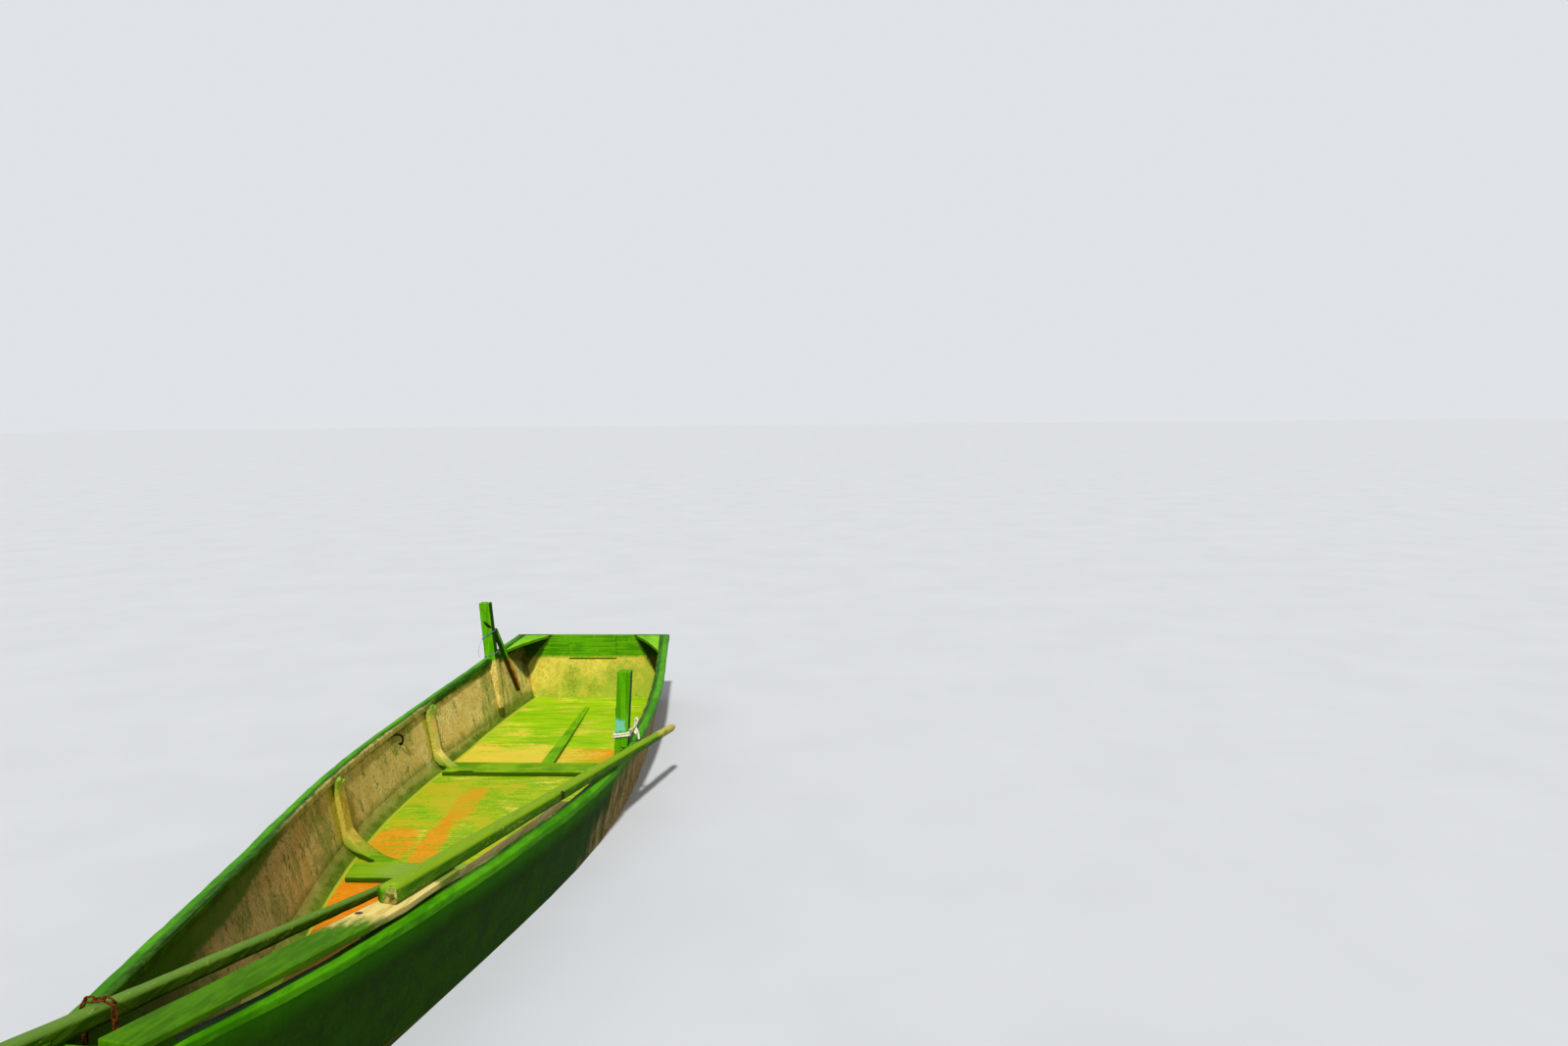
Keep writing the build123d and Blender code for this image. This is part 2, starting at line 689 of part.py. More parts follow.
straight = LINK_INNER_L / 2 - LINK_INNER_W / 2
bend = LINK_INNER_W / 2 + WIRE_R
bend_r = bend / cos(pi / LINK_TURNS / 2)
turns = [pi * (turn + 0.5) / LINK_TURNS for turn in range(LINK_TURNS)]
half = [(straight + bend_r * sin(turn), bend_r * cos(turn)) for turn in turns]
with BuildPart() as link:
    with BuildLine() as ring:
        Polyline((0, bend), *half, *[(-x, -y) for x, y in half], close=True)
    with BuildSketch(Plane(origin=(0, bend, 0), z_dir=(1, 0, 0))):
        RegularPolygon(WIRE_R, 6)
    sweep(path=ring.wire(), transition=Transition.RIGHT)

spots = []
for number in range(count):
    along = (number + 0.5) * LINK_PITCH / path.length
    tangent = path.tangent_at(along)
    normal = Vector(1, 0, 0) if number % 2 else tangent.cross(Vector(1, 0, 0))
    spots.append(Plane(path.position_at(along), x_dir=tangent, z_dir=normal).location)
with BuildPart() as chain:
    with Locations(*spots):
        add(link.part)
finish(chain, "chain")
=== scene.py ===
"""Flat-bottomed wooden rowing boat, afloat, with one oar on its gunwale and one over its bow."""
import math

import bmesh
import bpy
from mathutils import Matrix, Vector, noise
from mathutils.bvhtree import BVHTree


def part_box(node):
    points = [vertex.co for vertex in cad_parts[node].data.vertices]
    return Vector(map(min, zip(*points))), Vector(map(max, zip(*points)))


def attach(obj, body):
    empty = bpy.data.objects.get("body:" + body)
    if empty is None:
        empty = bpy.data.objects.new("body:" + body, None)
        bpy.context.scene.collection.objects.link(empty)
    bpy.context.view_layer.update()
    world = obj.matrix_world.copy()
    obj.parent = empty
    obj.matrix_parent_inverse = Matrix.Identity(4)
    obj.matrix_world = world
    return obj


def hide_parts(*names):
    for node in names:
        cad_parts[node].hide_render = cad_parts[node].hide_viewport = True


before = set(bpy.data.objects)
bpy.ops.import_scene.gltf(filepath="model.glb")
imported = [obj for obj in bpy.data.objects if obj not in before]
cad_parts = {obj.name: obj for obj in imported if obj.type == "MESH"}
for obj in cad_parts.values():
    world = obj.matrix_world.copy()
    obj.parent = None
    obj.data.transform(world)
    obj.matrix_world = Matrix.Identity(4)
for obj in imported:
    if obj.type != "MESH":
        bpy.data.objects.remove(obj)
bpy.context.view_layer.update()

# Metres, in the boat's own frame: +X to the bow, +Y to port, +Z up
WATERLINE = 0.040

# The bottom's inner face, and how it rises ahead of one place and astern of another
FLOOR_TOP = 0.030
ROCKER_FORE = 0.95
ROCKER_FORE_RISE = 0.05
ROCKER_AFT = -1.1
ROCKER_AFT_RISE = 0.02

# The gunwale's top: where it is lowest, its height there, and its rise with the square
# and with the fourth power of the way from there
SHEER_PLACE = -0.2
SHEER_LOW = 0.356
SHEER_RISE = 0.0255
SHEER_BOW_RISE = 0.0004

# Where the two frames' ribs stand, and the height at which they rise from the floor timbers
FRAME_PLACES = (-0.82, 0.25)
TIMBER_TOP = 0.0615

# The soft lower edge of the transom's green band
BAND_EDGE = 0.309

# The painted shadow of the quarter knees in the transom's corners: how near it comes to the centreline
# and at what height, and how far it draws back for each metre below it
CORNER_IN = 0.30
CORNER_TOP = 0.36
CORNER_SLOPE = 0.55

# The pad on the transom: its foot and half its width
PAD_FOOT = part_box("transom_pad")[0].z
PAD_HALF_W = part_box("transom_pad")[1].y

# The attribute for where a point lies across a gunwale: 0 at the outer side, 1 at the inner
ACROSS = "across"

# Points closer than this are one, and faces that turn less than this are one flat face
MERGE = 0.00002
FLAT = math.radians(1.5)

# An edge is rounded where its faces turn by more than this, and it runs lengthwise where this
# part of its length or more goes along X
SHARP = math.radians(30)
LENGTHWISE = 0.5

# Uneven surfaces: the size of their waves, and how much finer the second ones are
WAVES = 0.09
FINER = 3.1

# A cut across a gunwale has at least so many points
CUT_POINTS = 8

# Camera: where it stands, and two of the directions of its picture
PICTURE_W = 1600
FOCAL_PIXELS = 1070
SENSOR_W = 36.0
CAMERA_PLACE = Vector((4.3514, 1.5200, 1.8400))
CAMERA_RIGHT = Vector((-0.04619, 0.99889, -0.00868))
CAMERA_UP = Vector((-0.10578, 0.00375, 0.99438))

# Light
SUN_ENERGY = 3.0
SUN_ANGLE = math.radians(3)
SUN_AIM = Vector((-1, -0.135, -1))
SKY_COLOUR = (0.93, 0.96, 1.0, 1)
SKY_STRENGTH = 0.36
BACKDROP = 0.80

# Pieces with worn edges: their rounding, the least run between cuts across them (0 for no
# cuts), their unevenness, and whether only the edges that run lengthwise are rounded
WORN = (
    # nodes, rounding, run, uneven, lengthwise
    (("gunwale_port", "gunwale_starboard"), 0.007, 0.05, 0.0020, True),
    (("side_port", "side_starboard"), 0.001, 0.06, 0.0012, True),
    (("transom",), 0.006, 0.0, 0.0010, False),
    (("transom_pad",), 0.002, 0.0, 0.0006, False),
    (("stem",), 0.006, 0.0, 0.0015, False),
    (("quarter_knee_port", "quarter_knee_starboard", "breasthook"), 0.004, 0.0, 0.0010, False),
    (("floor_batten",), 0.004, 0.06, 0.0010, True),
    (("oar_post_port", "oar_post_starboard"), 0.003, 0.0, 0.0008, False),
    (("post_strut_port", "post_strut_starboard"), 0.003, 0.0, 0.0008, False),
    (("oar_shaft_port",), 0.005, 0.04, 0.0016, True),
    (("oar_shaft_bow",), 0.004, 0.04, 0.0016, True),
    (("oar_blade_port",), 0.003, 0.05, 0.0012, False),
    (("oar_side_board_port",), 0.002, 0.05, 0.0012, False),
    (("oar_blade_bow",), 0.003, 0.05, 0.0012, False),
)
OAR_NODES = ("oar_shaft_port", "oar_blade_port", "oar_side_board_port")

# Lath inside the port gunwale: its two ends, section, and where it lies against the gunwale
LATH_FORE = 1.70
LATH_AFT = 0.50
LATH_W = 0.045
LATH_T = 0.008
LATH_BELOW = 0.008
LATH_GAP = 0.002
LATH_CUTS = 24
LATH_ROUNDING = 0.0015
LATH_UNEVEN = 0.0012

# Frames: ribs and floor timber are under one skin of glass, which spreads on to the boat's side
RIB_FOOT = 0.055
RIB_SKIN = 0.007
RIB_SPREAD = 0.024
SKIN_GRAIN = 0.005
SKIN_SMOOTHING = 8
GLASSED = (
    ("frame_aft", ("rib_aft_port", "rib_aft_starboard", "floor_timber_aft")),
    ("frame_mid", ("rib_mid_port", "rib_mid_starboard", "floor_timber_mid")),
)

# A rib's fore and aft faces are where the normal's X is more than this
LOOKS_ALONG = 0.3

# How much thicker the chain's links are than their plain solids
LINK_GROWTH = 0.0004

# Half the thickness of what is wound and bent
ROPE_R = 0.0047
CORD_R = 0.0018
THREAD_R = 0.0014
HOOK_R = 0.0055
NAIL_R = 0.0060

# The two cords on the starboard post
CORDS = (
    # name, height, rise of each turn, lean
    ("high_cord", 0.545, 0.005, 0.65),
    ("low_cord", 0.432, 0.004, 0.30),
)

# The way of what hangs loose or is bent, point by point
ROPE_ENDS = [
    (-0.165, 0.615, 0.432),
    (-0.150, 0.642, 0.462),
    (-0.150, 0.652, 0.488),
    (-0.158, 0.640, 0.494),
    (-0.165, 0.632, 0.470),
    (-0.162, 0.640, 0.440),
    (-0.150, 0.650, 0.432),
    (-0.145, 0.642, 0.424),
    (-0.152, 0.634, 0.432),
    (-0.158, 0.644, 0.438),
    (-0.150, 0.652, 0.425),
    (-0.146, 0.654, 0.400),
]
THREAD_WAY = (
    (-1.614, -0.543, 0.524),
    (-1.606, -0.550, 0.508),
    (-1.598, -0.558, 0.480),
    (-1.600, -0.566, 0.445),
    (-1.604, -0.556, 0.420),
)
HOOK_WAY = (
    (-0.438, -0.596, 0.318),
    (-0.445, -0.560, 0.322),
    (-0.450, -0.545, 0.306),
    (-0.452, -0.548, 0.280),
    (-0.456, -0.560, 0.262),
    (-0.462, -0.568, 0.272),
)
NAIL_WAY = (
    (-1.627, -0.527, 0.627),
    (-1.613, -0.522, 0.625),
    (-1.609, -0.510, 0.616),
    (-1.611, -0.498, 0.605),
    (-1.624, -0.489, 0.594),
)

# Lumps of resin to starboard, each with its fellow to port
RESIN_LUMPS = (
    # x, way from the centreline, z, half length, half height
    (-0.852, 0.558, 0.338, 0.026, 0.011),
    (-0.880, 0.556, 0.322, 0.018, 0.012),
    (-0.838, 0.549, 0.306, 0.013, 0.009),
    (0.212, 0.543, 0.330, 0.030, 0.012),
    (0.182, 0.541, 0.312, 0.020, 0.012),
    (0.226, 0.533, 0.296, 0.014, 0.010),
)
RESIN_DEPTH = 0.007
RESIN_UNEVEN = 0.0035
RESIN_WAVES = 0.014

# The stage's outline is the hull's, widened so many times in turn, and wider across
STAGE_STEPS = (1.4, 4.0, 12.0)
STAGE_WIDER = 1.5

# A colour Mix node's sockets: its factor, its two colours and its result
MIX_INPUTS = (0, 6, 7)
MIX_RESULT = 2

# A noise runs from 0 to 1 round this
NOISE_MIDDLE = 0.5

# How far the loose oar and the lath lie turned on the plan, and their grain with them
OAR_TURN = 0.22
LATH_TURN = 0.3


def add(name, data):
    """A new object in the scene."""
    obj = bpy.data.objects.new(name, data)
    bpy.context.scene.collection.objects.link(obj)
    return obj


def make_camera():
    """A camera where the photograph's stood, with its angle of view."""
    data = bpy.data.cameras.new("camera")
    data.sensor_width = SENSOR_W
    data.lens = SENSOR_W * FOCAL_PIXELS / PICTURE_W
    data.clip_start = 0.05
    camera = add("camera", data)
    back = CAMERA_RIGHT.cross(CAMERA_UP)
    turn = Matrix((CAMERA_RIGHT, CAMERA_UP, back)).transposed().to_4x4()
    camera.matrix_world = Matrix.Translation(CAMERA_PLACE) @ turn
    bpy.context.scene.camera = camera


class Wire:
    """A socket of a material's nodes, or a number, with arithmetic."""

    def __init__(self, tree, value):
        self.tree = tree
        self.value = value

    def math(self, operation, *others):
        node = self.tree.nodes.new("ShaderNodeMath")
        node.operation = operation
        for socket, value in zip(node.inputs, (self, *others)):
            feed(self.tree, socket, value)
        return Wire(self.tree, node.outputs[0])

    def __add__(self, other):
        return self.math("ADD", other)

    def __sub__(self, other):
        return self.math("SUBTRACT", other)

    def __rsub__(self, other):
        return Wire(self.tree, other).math("SUBTRACT", self)

    def __mul__(self, other):
        return self.math("MULTIPLY", other)

    __radd__ = __add__
    __rmul__ = __mul__

    def by(self, width):
        """A noise as a swing to either side of 0, this wide in all."""
        return (self - NOISE_MIDDLE) * width


def feed(tree, socket, value):
    """Give a socket a link or a plain value; a colour of three numbers is made opaque."""
    if isinstance(value, Wire):
        value = value.value
    if isinstance(value, bpy.types.NodeSocket):
        tree.links.new(value, socket)
    elif socket.type == "RGBA" and len(value) == 3:
        socket.default_value = (*value, 1)
    else:
        socket.default_value = value


class Finish:
    """One material: its node tree, and the few kinds of node that patterns are made of."""

    def __init__(self, name):
        self.material = bpy.data.materials.new(name)
        self.material.use_nodes = True
        self.tree = self.material.node_tree
        self.shader = self.tree.nodes["Principled BSDF"]
        self.place = self.node("ShaderNodeTexCoord").outputs["Object"]
        split = self.node("ShaderNodeSeparateXYZ", Vector=self.place)
        self.x, self.y, self.z = (self.wire(socket) for socket in split.outputs)
        normal = self.node("ShaderNodeNewGeometry").outputs["Normal"]
        facing = self.node("ShaderNodeSeparateXYZ", Vector=normal)
        self.facing = [self.wire(socket) for socket in facing.outputs]

    def wire(self, value):
        return Wire(self.tree, value)

    def node(self, kind, settings=None, **values):
        """Any node: its settings first, then what its sockets get, by name with _ for a space."""
        node = self.tree.nodes.new(kind)
        for key, value in (settings or {}).items():
            setattr(node, key, value)
        for key, value in values.items():
            feed(self.tree, node.inputs[key.replace("_", " ")], value)
        return node

    def noise(self, scale, stretch=(1, 1, 1), detail=3.0, roughness=0.55, distortion=0.0, turn=0.0):
        """Noise, drawn out along an axis by a stretch under 1, and turned on the plan."""
        place = self.node("ShaderNodeMapping", Vector=self.place, Scale=stretch, Rotation=(0, 0, turn))
        node = self.node(
            "ShaderNodeTexNoise",
            Vector=place.outputs[0],
            Scale=scale,
            Detail=detail,
            Roughness=roughness,
            Distortion=distortion,
        )
        return self.wire(node.outputs["Fac"])

    def mask(self, wire, low, high):
        """0 below low, 1 above high and smooth between them; high may be the lower."""
        node = self.node("ShaderNodeMapRange", {"interpolation_type": "SMOOTHSTEP"}, Value=wire)
        node.inputs["From Min"].default_value = min(low, high)
        node.inputs["From Max"].default_value = max(low, high)
        result = self.wire(node.outputs["Result"])
        return result if low < high else 1 - result

    def spot(self, x, y, long, wide, turn=0.0, ragged=None, soft=0.3):
        """1 within an ellipse on the plan, 0 well outside it; ragged is added to the distance."""
        ahead = (self.x - x) * (math.cos(turn) / long) + (self.y - y) * (math.sin(turn) / long)
        across = (self.y - y) * (math.cos(turn) / wide) - (self.x - x) * (math.sin(turn) / wide)
        away = ahead * ahead + across * across
        if ragged is not None:
            away = away + ragged
        return self.mask(away, 1 + soft, max(1 - soft, 0))

    def mix(self, factor, first, second):
        """The second colour over the first, as far as factor says."""
        node = self.node("ShaderNodeMix", {"data_type": "RGBA"})
        for index, value in zip(MIX_INPUTS, (factor, first, second)):
            feed(self.tree, node.inputs[index], value)
        return node.outputs[MIX_RESULT]

    def done(self, colour, roughness, bump=None, depth=0.001, metallic=0.0, gloss=0.03):
        """The material, with its bump as deep as depth."""
        feed(self.tree, self.shader.inputs["Base Color"], colour)
        feed(self.tree, self.shader.inputs["Roughness"], roughness)
        feed(self.tree, self.shader.inputs["Metallic"], metallic)
        self.shader.inputs["Specular IOR Level"].default_value = gloss
        if bump is not None:
            node = self.node("ShaderNodeBump", Strength=1.0, Distance=depth, Height=bump)
            feed(self.tree, self.shader.inputs["Normal"], node.outputs[0])
        return self.material


def below_rim(finish):
    """How far a point is under the top of the gunwale."""
    ahead = finish.x - SHEER_PLACE
    square = ahead * ahead
    return square * (square * SHEER_BOW_RISE + SHEER_RISE) + SHEER_LOW - finish.z


def above_floor(finish):
    """How far a point is over the inside of the bottom, which rises towards both ends."""
    ahead = (finish.x - ROCKER_FORE).math("MAXIMUM", 0)
    astern = (ROCKER_AFT - finish.x).math("MAXIMUM", 0)
    return finish.z - FLOOR_TOP - ahead * ahead * ROCKER_FORE_RISE - astern * ROCKER_AFT_RISE


# The floor: paint, what shows through it and what lies on it, and a painted shadow in the bow
LIME_DARK = (0.22, 0.50, 0.003)
LIME_LIGHT = (0.44, 0.66, 0.008)
LIME_DULL = (0.22, 0.46, 0.008)
FLOOR_MOSS = (0.20, 0.42, 0.008)
FLOOR_OCHRE = (0.60, 0.46, 0.022)
FLOOR_CREAM = (0.84, 0.70, 0.07)
FLOOR_YELLOW = (0.88, 0.68, 0.07)
PRIMER_DEEP = (0.90, 0.18, 0.002)
PRIMER_PALE = (0.84, 0.34, 0.012)
FLOOR_OAR_SHADOW = (0.050, 0.034, 0.008)
FLOOR_STAIN = (0.12, 0.24, 0.006)
FLOOR_UNDERSIDE = (0.03, 0.05, 0.008)

# Where the paint is worn through to the primer, and how far
FLOOR_PATCHES = (
    # x, y, half length, half width, turn, strength
    (0.15, -0.37, 0.19, 0.11, 0.2, 0.80),
    (0.16, -0.19, 0.34, 0.050, 0.10, 0.85),
    (-0.28, -0.20, 0.26, 0.06, 0.05, 0.60),
    (-1.02, -0.42, 0.16, 0.34, 0.0, 0.40),
    (-1.00, 0.20, 0.12, 0.24, 0.0, 1.00),
    (0.80, -0.15, 0.40, 0.70, 0.0, 1.00),
)
PATCH_FADE = 1.1

# Where it has yellowed instead: x, y, half length and half width
YELLOW_PLACE = (-0.98, -0.30, 0.20, 0.60)


def floor_finish():
    """Yellow-green paint brushed across, worn through to cream and to orange primer, with the oars'
    shadow painted dark in the bow.
    """
    f = Finish("floor_paint")
    brush = f.noise(70, (1, 0.06, 1), detail=4)
    fine = f.noise(170, (1, 0.3, 1), detail=4, roughness=0.7)
    patch = f.noise(3.2, (1, 0.7, 1), detail=5, roughness=0.62, distortion=0.4)
    blot = f.noise(10, (1, 0.6, 1), detail=7, roughness=0.72)
    scratch = brush.by(1.5) + fine.by(2.2) + blot.by(3.2)
    colour = f.mix(f.mask(brush + patch * 0.5, 0.55, 0.90), LIME_DARK, LIME_LIGHT)
    middle = f.mask(f.x, -0.95, -0.75)
    mossy = f.mask(patch * 0.4 + blot * 0.4 + fine * 0.2, 0.47, 0.52)
    colour = f.mix(middle * mossy * 0.75, colour, FLOOR_MOSS)
    ochre = f.mask(patch * 0.35 + blot * 0.35 + fine * 0.3, 0.50, 0.46)
    colour = f.mix(middle * ochre * 0.80, colour, FLOOR_OCHRE)
    dull = f.mask(blot * 0.6 + fine * 0.25 + patch * 0.25, 0.555, 0.62)
    colour = f.mix(dull * 0.7, colour, LIME_DULL)
    worn = f.mask(patch * 0.4 + blot * 0.25 + brush * 0.2 + fine * 0.25, 0.565, 0.625)
    colour = f.mix(worn * 0.85, colour, FLOOR_CREAM)
    through = f.mask(brush * 0.35 + fine * 0.30 + blot * 0.35, 0.420, 0.520) * 0.92 + 0.08
    through = (through + f.mask(f.x, 0.42, 0.50)).math("MINIMUM", 1)
    orange = f.mix(f.mask(fine * 0.5 + blot * 0.5, 0.42, 0.58), PRIMER_DEEP, PRIMER_PALE)
    for *place, strength in FLOOR_PATCHES:
        soft = f.spot(*place, soft=PATCH_FADE)
        colour = f.mix(f.mask(soft + scratch * 0.75, 0.36, 0.80) * through * strength, colour, orange)
    yellow = f.mask(f.spot(*YELLOW_PLACE, soft=PATCH_FADE) + scratch * 0.6, 0.40, 0.90)
    colour = f.mix(yellow * 0.75, colour, FLOOR_YELLOW)
    # Painted shadow of the oars: the floor in the bow goes nearly black
    oar_shadow = f.mask(f.x + f.y * 0.4 + blot.by(0.25), 0.70, 0.86)
    colour = f.mix(oar_shadow * 0.88, colour, FLOOR_OAR_SHADOW)
    stain = f.mask(f.noise(40, detail=6, roughness=0.7), 0.60, 0.72) * 0.5
    colour = f.mix(stain, colour, FLOOR_STAIN)
    under = f.mask(f.facing[2], -0.2, -0.6) + f.mask(f.facing[2].math("ABSOLUTE"), 0.6, 0.2)
    colour = f.mix(under.math("MINIMUM", 1), colour, FLOOR_UNDERSIDE)
    bump = brush * 0.6 + fine * 0.3 + blot * 0.6
    return f.done(colour, 0.40 + worn * 0.25 + fine * 0.15, bump, 0.0018)


def wall_noises(f):
    """The patterns that sides, gunwales and coves share, from coarse to fine."""
    big = f.noise(2.6, detail=5, roughness=0.6)
    blot = f.noise(12, (1, 1, 0.9), detail=7, roughness=0.75)
    speck = f.noise(85, (1, 1, 0.6), detail=5, roughness=0.8)
    grain = f.noise(150, (1, 1, 0.45), detail=6, roughness=0.8)
    return big, blot, speck, grain


# The inside of the hull
WALL_TAN = (0.84, 0.56, 0.14)
WALL_CREAM = (1.00, 0.82, 0.30)
WALL_CHALK = (1.00, 0.86, 0.42)
TAN_AMIDSHIPS = (0.50, 0.38, 0.08)
TAN_FORWARD = (0.62, 0.42, 0.15)
WALL_GROWTH = (0.24, 0.31, 0.04)
WALL_PITS = (0.26, 0.20, 0.035)
WALL_SPECKS = (0.10, 0.09, 0.012)
BOW_GROWTH = (0.045, 0.095, 0.006)


def wall_colour(f, big, blot, speck, grain):
    """Inside of the hull: cream paint gone tan, under green growth and dark specks."""
    streak = f.noise(22, (1, 1, 0.22), detail=6, roughness=0.7)
    colour = f.mix(f.mask(blot * 0.6 + grain * 0.4, 0.42, 0.58), WALL_TAN, WALL_CREAM)
    middle = f.mask(f.x + big.by(0.6), -0.75, -0.30)
    colour = f.mix(middle * 0.30, colour, TAN_AMIDSHIPS)
    forward = f.mask(f.x + big.by(0.6), 0.30, 1.10)
    colour = f.mix(forward * 0.45, colour, TAN_FORWARD)
    growth = streak * 0.45 + big * 0.60 + blot * 0.35
    colour = f.mix(f.mask(growth, 0.71, 0.78) * 0.65, colour, WALL_GROWTH)
    colour = f.mix(f.mask(grain, 0.50, 0.58) * 0.60, colour, WALL_PITS)
    colour = f.mix(f.mask(grain, 0.44, 0.38) * 0.55, colour, WALL_CHALK)
    dark = f.mask(speck * 0.7 + grain * 0.3 + blot.by(0.5) + streak.by(0.5), 0.56, 0.62)
    colour = f.mix(dark * 0.75, colour, WALL_SPECKS)
    bow = f.mask(f.x + blot.by(0.7) + big.by(0.8), 1.20, 1.75)
    return f.mix(bow * 0.85, colour, BOW_GROWTH)


# The sides: beside the ribs, at foot and rim, the painted shadow of a knee in the aft corner, and
# outside
FLANGE_OCHRE = (0.62, 0.46, 0.030)
FLANGE_CRUST = (0.17, 0.34, 0.008)
SIDE_FOOT = (0.13, 0.21, 0.010)
UNDER_RIM = (0.06, 0.17, 0.003)
KNEE_SHADOW_PAINT = (0.010, 0.020, 0.001)
OUTSIDE_DARK = (0.014, 0.050, 0.001)
OUTSIDE_GREEN = (0.030, 0.100, 0.001)
OUTSIDE_RIM = (0.07, 0.36, 0.001)
WEATHERED_DARK = (0.36, 0.21, 0.045)
WEATHERED_PALE = (0.84, 0.60, 0.24)
WEATHERED_SPECKS = (0.08, 0.060, 0.012)


def side_finish():
    """Inside tan, darker under the rim and at the foot, with a painted knee shadow in the aft corner.
    Outside green over weathered tan.
    """
    f = Finish("side_paint")
    big, blot, speck, grain = wall_noises(f)
    below = below_rim(f)
    low = above_floor(f)
    inner = wall_colour(f, big, blot, speck, grain)
    for x in FRAME_PLACES:
        beside = (f.x - x).math("ABSOLUTE") + blot.by(0.10)
        inner = f.mix(f.mask(beside, 0.095, 0.050) * 0.80, inner, FLANGE_OCHRE)
        crusted = f.mask(beside + speck.by(0.2), 0.100, 0.050) * f.mask(speck, 0.47, 0.55)
        inner = f.mix(crusted * 0.75, inner, FLANGE_CRUST)
    foot = f.mask(low + blot.by(0.12) + grain.by(0.05), 0.090, 0.040)
    inner = f.mix(foot * 0.75, inner, SIDE_FOOT)
    bow = f.mask(f.x, 0.70, 1.40) * 0.065
    astern = f.mask(f.x, -1.0, -1.5) * 0.015
    ragged = below - bow - astern + speck.by(0.06) + blot.by(0.06) + grain.by(0.04)
    inner = f.mix(f.mask(ragged, 0.052, 0.034) * 0.85, inner, UNDER_RIM)
    # Painted shadow of the quarter knee, dark in the side's aft corner
    corner = f.mask(f.x + 2.05 - (f.z - 0.17), 0.02, -0.02) * f.mask(f.z, 0.16, 0.20)
    inner = f.mix(corner * 0.85, inner, KNEE_SHADOW_PAINT)

    streak = f.noise(20, (1, 1, 0.15), detail=6, roughness=0.7)
    outer = f.mix(f.mask(blot * 0.6 + grain * 0.4, 0.40, 0.60), OUTSIDE_DARK, OUTSIDE_GREEN)
    wear = below * 0.9 - f.x * 0.45 + streak.by(0.6) + big.by(0.7)
    tan = f.mask(wear, 0.06, 0.34)
    weathered = f.mix(f.mask(streak * 0.5 + grain * 0.5, 0.44, 0.56), WEATHERED_DARK, WEATHERED_PALE)
    weathered = f.mix(f.mask(speck, 0.52, 0.60) * 0.75, weathered, WEATHERED_SPECKS)
    outer = f.mix(tan, outer, weathered)
    rim = f.mask(below + blot.by(0.08), 0.13, 0.03)
    outer = f.mix(rim * 0.9, outer, OUTSIDE_RIM)

    inside = f.mask(f.y * f.facing[1], 0.0005, -0.0005)
    colour = f.mix(inside, outer, inner)
    rough = 0.45 + blot * 0.3 + inside * 0.12
    return f.done(colour, rough, blot * 0.9 + speck * 0.5 + grain * 0.35, 0.0040, gloss=0.02)


# The transom: below its band, the green band itself, the slot under the pad, and the painted shadow of
# the knees
TRANSOM_OCHRE = (0.56, 0.46, 0.045)
TRANSOM_CREAM = (0.86, 0.70, 0.11)
TRANSOM_ALGAE = (0.22, 0.38, 0.015)
TRANSOM_SPECKS = (0.10, 0.16, 0.008)
TRANSOM_OUTSIDE = (0.10, 0.09, 0.03)
BAND_DARK = (0.060, 0.24, 0.001)
BAND_LIGHT = (0.11, 0.36, 0.003)
BAND_WORN = (0.50, 0.60, 0.06)
SLOT_SHADE = (0.010, 0.025, 0.001)


def transom_finish():
    """Ochre-yellow below, with green algae; green paint above with a soft lower edge; the knees' shadow
    painted in its upper corners.
    """
    f = Finish("transom_paint")
    big = f.noise(5, detail=5, roughness=0.65)
    blot = f.noise(24, (1, 1, 0.8), detail=6, roughness=0.75)
    speck = f.noise(110, detail=5, roughness=0.75)
    brush = f.noise(90, (1, 0.05, 1), detail=3)
    colour = f.mix(f.mask(blot * 0.7 + speck * 0.3, 0.40, 0.60), TRANSOM_OCHRE, TRANSOM_CREAM)
    algae = f.mask(blot * 0.6 + big * 0.5 + speck * 0.15 - f.z * 0.5 + f.y * 0.16, 0.50, 0.60)
    colour = f.mix(algae * 0.70, colour, TRANSOM_ALGAE)
    colour = f.mix(f.mask(speck + big.by(0.5), 0.58, 0.66) * 0.75, colour, TRANSOM_SPECKS)
    edge = f.z + big.by(0.03) + blot.by(0.06) + speck.by(0.03)
    band = f.mask(edge, BAND_EDGE - 0.013, BAND_EDGE + 0.013)
    green = f.mix(f.mask(brush + big.by(1), 0.4, 0.6), BAND_DARK, BAND_LIGHT)
    green = f.mix(f.mask(speck + blot.by(0.6), 0.62, 0.70) * 0.6, green, BAND_WORN)
    colour = f.mix(band, colour, green)
    inner = f.mask(f.facing[0], -0.3, 0.3)
    slot = f.mask(f.y.math("ABSOLUTE"), PAD_HALF_W + 0.004, PAD_HALF_W - 0.004) * inner
    beside = (f.z - PAD_FOOT + 0.004).math("ABSOLUTE")
    slot = slot * f.mask(beside + blot.by(0.004), 0.006, 0.003)
    colour = f.mix(slot * 0.9, colour, SLOT_SHADE)
    # Painted shadow of the quarter knees, dark in the transom's upper corners on its inner face
    corner = f.y.math("ABSOLUTE") - CORNER_IN - (CORNER_TOP - f.z) * CORNER_SLOPE + blot.by(0.04)
    dark = f.mask(corner, 0, 0.02) * f.mask(f.z, 0.15, 0.19) * inner
    colour = f.mix(dark * 0.85, colour, KNEE_SHADOW_PAINT)
    outside = f.mask(f.facing[0], -0.3, -0.7)
    colour = f.mix(outside * f.mask(f.z, 0.30, 0.26) * 0.8, colour, TRANSOM_OUTSIDE)
    return f.done(colour, 0.42 + blot * 0.25, blot * 0.7 + brush * 0.3 + speck * 0.2, 0.0018)


# Wear, specks and painted shade on brushed green paint
GREEN_WORN = (0.40, 0.58, 0.03)
GREEN_SPECKS = (0.03, 0.08, 0.001)
GREEN_PAINTED_SHADE = (0.02, 0.07, 0.001)


